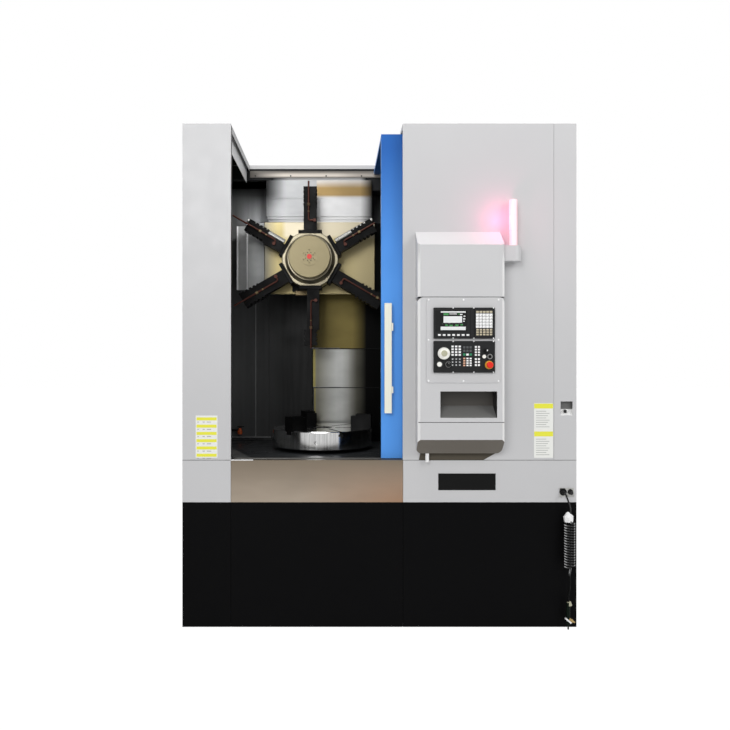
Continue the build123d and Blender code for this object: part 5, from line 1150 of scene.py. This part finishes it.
def make_window_gasket():
    """Black rubber gasket round the door's window"""
    low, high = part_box("door_window")
    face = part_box("door_panel")[0].y
    loops = []
    for grow, lift in GASKET_SECTION:
        out = grow - GLASS_LAP
        ends = (low.x - out, low.z - out), (high.x + out, high.z + out)
        loops.append(rounded(*ends, OPENING_CORNER + grow, face - lift))
    gasket = Shape()
    rings = [[gasket.mesh.verts.new(point) for point in loop] for loop in loops]
    for inner, outer in zip(rings, rings[1:] + rings[:1]):
        for place in range(len(inner)):
            after = (place + 1) % len(inner)
            gasket.mesh.faces.new((inner[place], inner[after], outer[after], outer[place]))
    gasket.done("window_gasket", "rubber", "door", "black_plastic")


def make_handle_tabs():
    """Mounting tabs beside the door's long handle"""
    low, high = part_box("door_handle")
    tabs = Shape()
    for bottom, top in ((2.06, 2.115), (1.624, 1.67)):
        tabs.box((high.x - 0.001, low.y + 0.006, bottom), (high.x + 0.01, high.y, top), 0.002)
    tabs.done("handle_tabs", "cream", "door")


make_window_gasket()
make_handle_tabs()

# Coolant pipes of the turret: angle, distance past the disc's flat, and offset across it
PIPE_RINGS = (
    (90, 0.222, 0.012), (30, 0.23, -0.006), (150, 0.24, 0.004),
    (210, 0.284, 0.018), (270, 0.325, 0.007), (330, 0.4, 0.004),
)
PIPE_Y = -0.391
DISC_FLAT = 0.21
HUB_STUDS = 8
HUB_RADIUS = 0.033


def make_turret_details():
    """Hub mark, bolt ring and brass ferrules of the turret"""
    cap_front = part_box("turret_cap")[0].y
    disc_low, disc_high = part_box("turret_disc")
    centre = (disc_low + disc_high) / 2
    Shape().knob((centre.x, centre.z), cap_front, 0.0006, 0.0195).done("hub_mark", "red_plastic", "turret")
    studs = Shape()
    for step in range(HUB_STUDS):
        angle = 2 * pi * (step + 0.5) / HUB_STUDS
        spot = (centre.x + HUB_RADIUS * cos(angle), centre.z + HUB_RADIUS * sin(angle))
        studs.knob(spot, cap_front + 0.0065, 0.0015, 0.004, segments=12)
    studs.done("hub_studs", "black_screw", "turret")
    ferrules = Shape()
    for angle, place, side in PIPE_RINGS:
        out = Vector((cos(radians(angle)), 0, sin(radians(angle))))
        across = Vector((-out.z, 0, out.x))
        for along, radius, length in ((place, 0.0125, 0.02), (place - 0.05, 0.0085, 0.01)):
            start = Vector((centre.x, PIPE_Y, centre.z)) + out * (DISC_FLAT + along) + across * side
            ferrules.rod(start, start + out * length, radius, segments=6)
    ferrules.done("pipe_ferrules", "dull_brass", "turret")


make_turret_details()

# Air hose, from the socket through its curly length to the gun
HOSE_DIAMETER = 0.012
COIL_TURNS = 17
POINTS_A_TURN = 12
COIL_LOW, COIL_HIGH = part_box("air_hose_coil")
LEAD_ROUTE = (
    (1.275, -1.182, 0.936), (1.275, -1.216, 0.936), (1.283, -1.234, 0.898), (1.299, -1.226, 0.858),
    (1.308, -1.216, 0.820), (1.301, HOSE_Y, 0.782),
)
TAIL_ROUTE = (
    (1.301, HOSE_Y, 0.390), (1.305, -1.213, 0.340), (1.302, HOSE_Y, 0.286), (1.293, -1.210, 0.236),
    (1.293, -1.210, 0.190),
)
LEVER_CORNERS = (
    (1.266, -1.232, 0.084), (1.274, -1.232, 0.09), (1.312, -1.232, 0.059), (1.304, -1.232, 0.051),
)
LEVER_WIDTH = 0.018


def make_hose_ends():
    """White wrapping above the coil, and the gun's collar, lever and brass nozzle"""
    wrap = Shape().rod((1.296, HOSE_Y, 0.746), (1.294, HOSE_Y, 0.782), 0.031, 0.035, 7)
    wrap.rod((1.294, HOSE_Y, 0.782), (1.29, HOSE_Y, 0.812), 0.033, 0.007, 7)
    collar = Shape().rod((1.297, -1.21, 0.196), (1.303, -1.21, 0.17), 0.013, 0.017, 8)
    lever = Shape().plate(LEVER_CORNERS, (0.0, LEVER_WIDTH, 0.0))
    nozzle = Shape().rod((1.295, -1.215, 0.078), (1.322, -1.215, 0.063), 0.012, 0.0105, 10)
    nozzle.rod((1.322, -1.215, 0.063), (1.332, -1.215, 0.058), 0.006, 0.006, 10)
    nozzle.rod((1.332, -1.215, 0.058), (1.338, -1.215, 0.056), 0.0062, 0.0045, 10)
    return [
        wrap.done("hose_wrap", "edge", slot="white_plastic"),
        collar.done("gun_collar", "dial", slot="white_plastic"),
        lever.done("gun_lever", "edge", slot="white_plastic"),
        nozzle.done("gun_nozzle", "brass", slot="machined_steel"),
    ]


def make_hose():
    centre = (COIL_LOW + COIL_HIGH) / 2
    radius = (COIL_HIGH.x - COIL_LOW.x) / 2 - HOSE_DIAMETER / 2
    top, bottom = COIL_HIGH.z - HOSE_DIAMETER / 2, COIL_LOW.z + HOSE_DIAMETER / 2
    steps = COIL_TURNS * POINTS_A_TURN
    points = list(LEAD_ROUTE)
    for step in range(steps + 1):
        angle = 2 * pi * step / POINTS_A_TURN
        height = top - (top - bottom) * step / steps
        points.append((centre.x + radius * sin(angle), centre.y - radius * cos(angle), height))
    points.extend(TAIL_ROUTE)
    data = bpy.data.curves.new("air_hose", "CURVE")
    data.dimensions = "3D"
    spline = data.splines.new("NURBS")
    spline.points.add(len(points) - 1)
    for point, place in zip(spline.points, points):
        point.co = (*place, 1.0)
    spline.order_u = 3
    spline.use_endpoint_u = True
    data.bevel_depth = HOSE_DIAMETER / 2
    data.bevel_resolution = 3
    data.resolution_u = 4
    data.materials.append(MAT["hose"].material)
    hose = add_object("air_hose", data)
    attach(hose, "machine")
    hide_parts("air_hose_lead", "air_hose_coil", "air_hose_tail")
    ["air_gun"] + make_hose_ends()


make_hose()
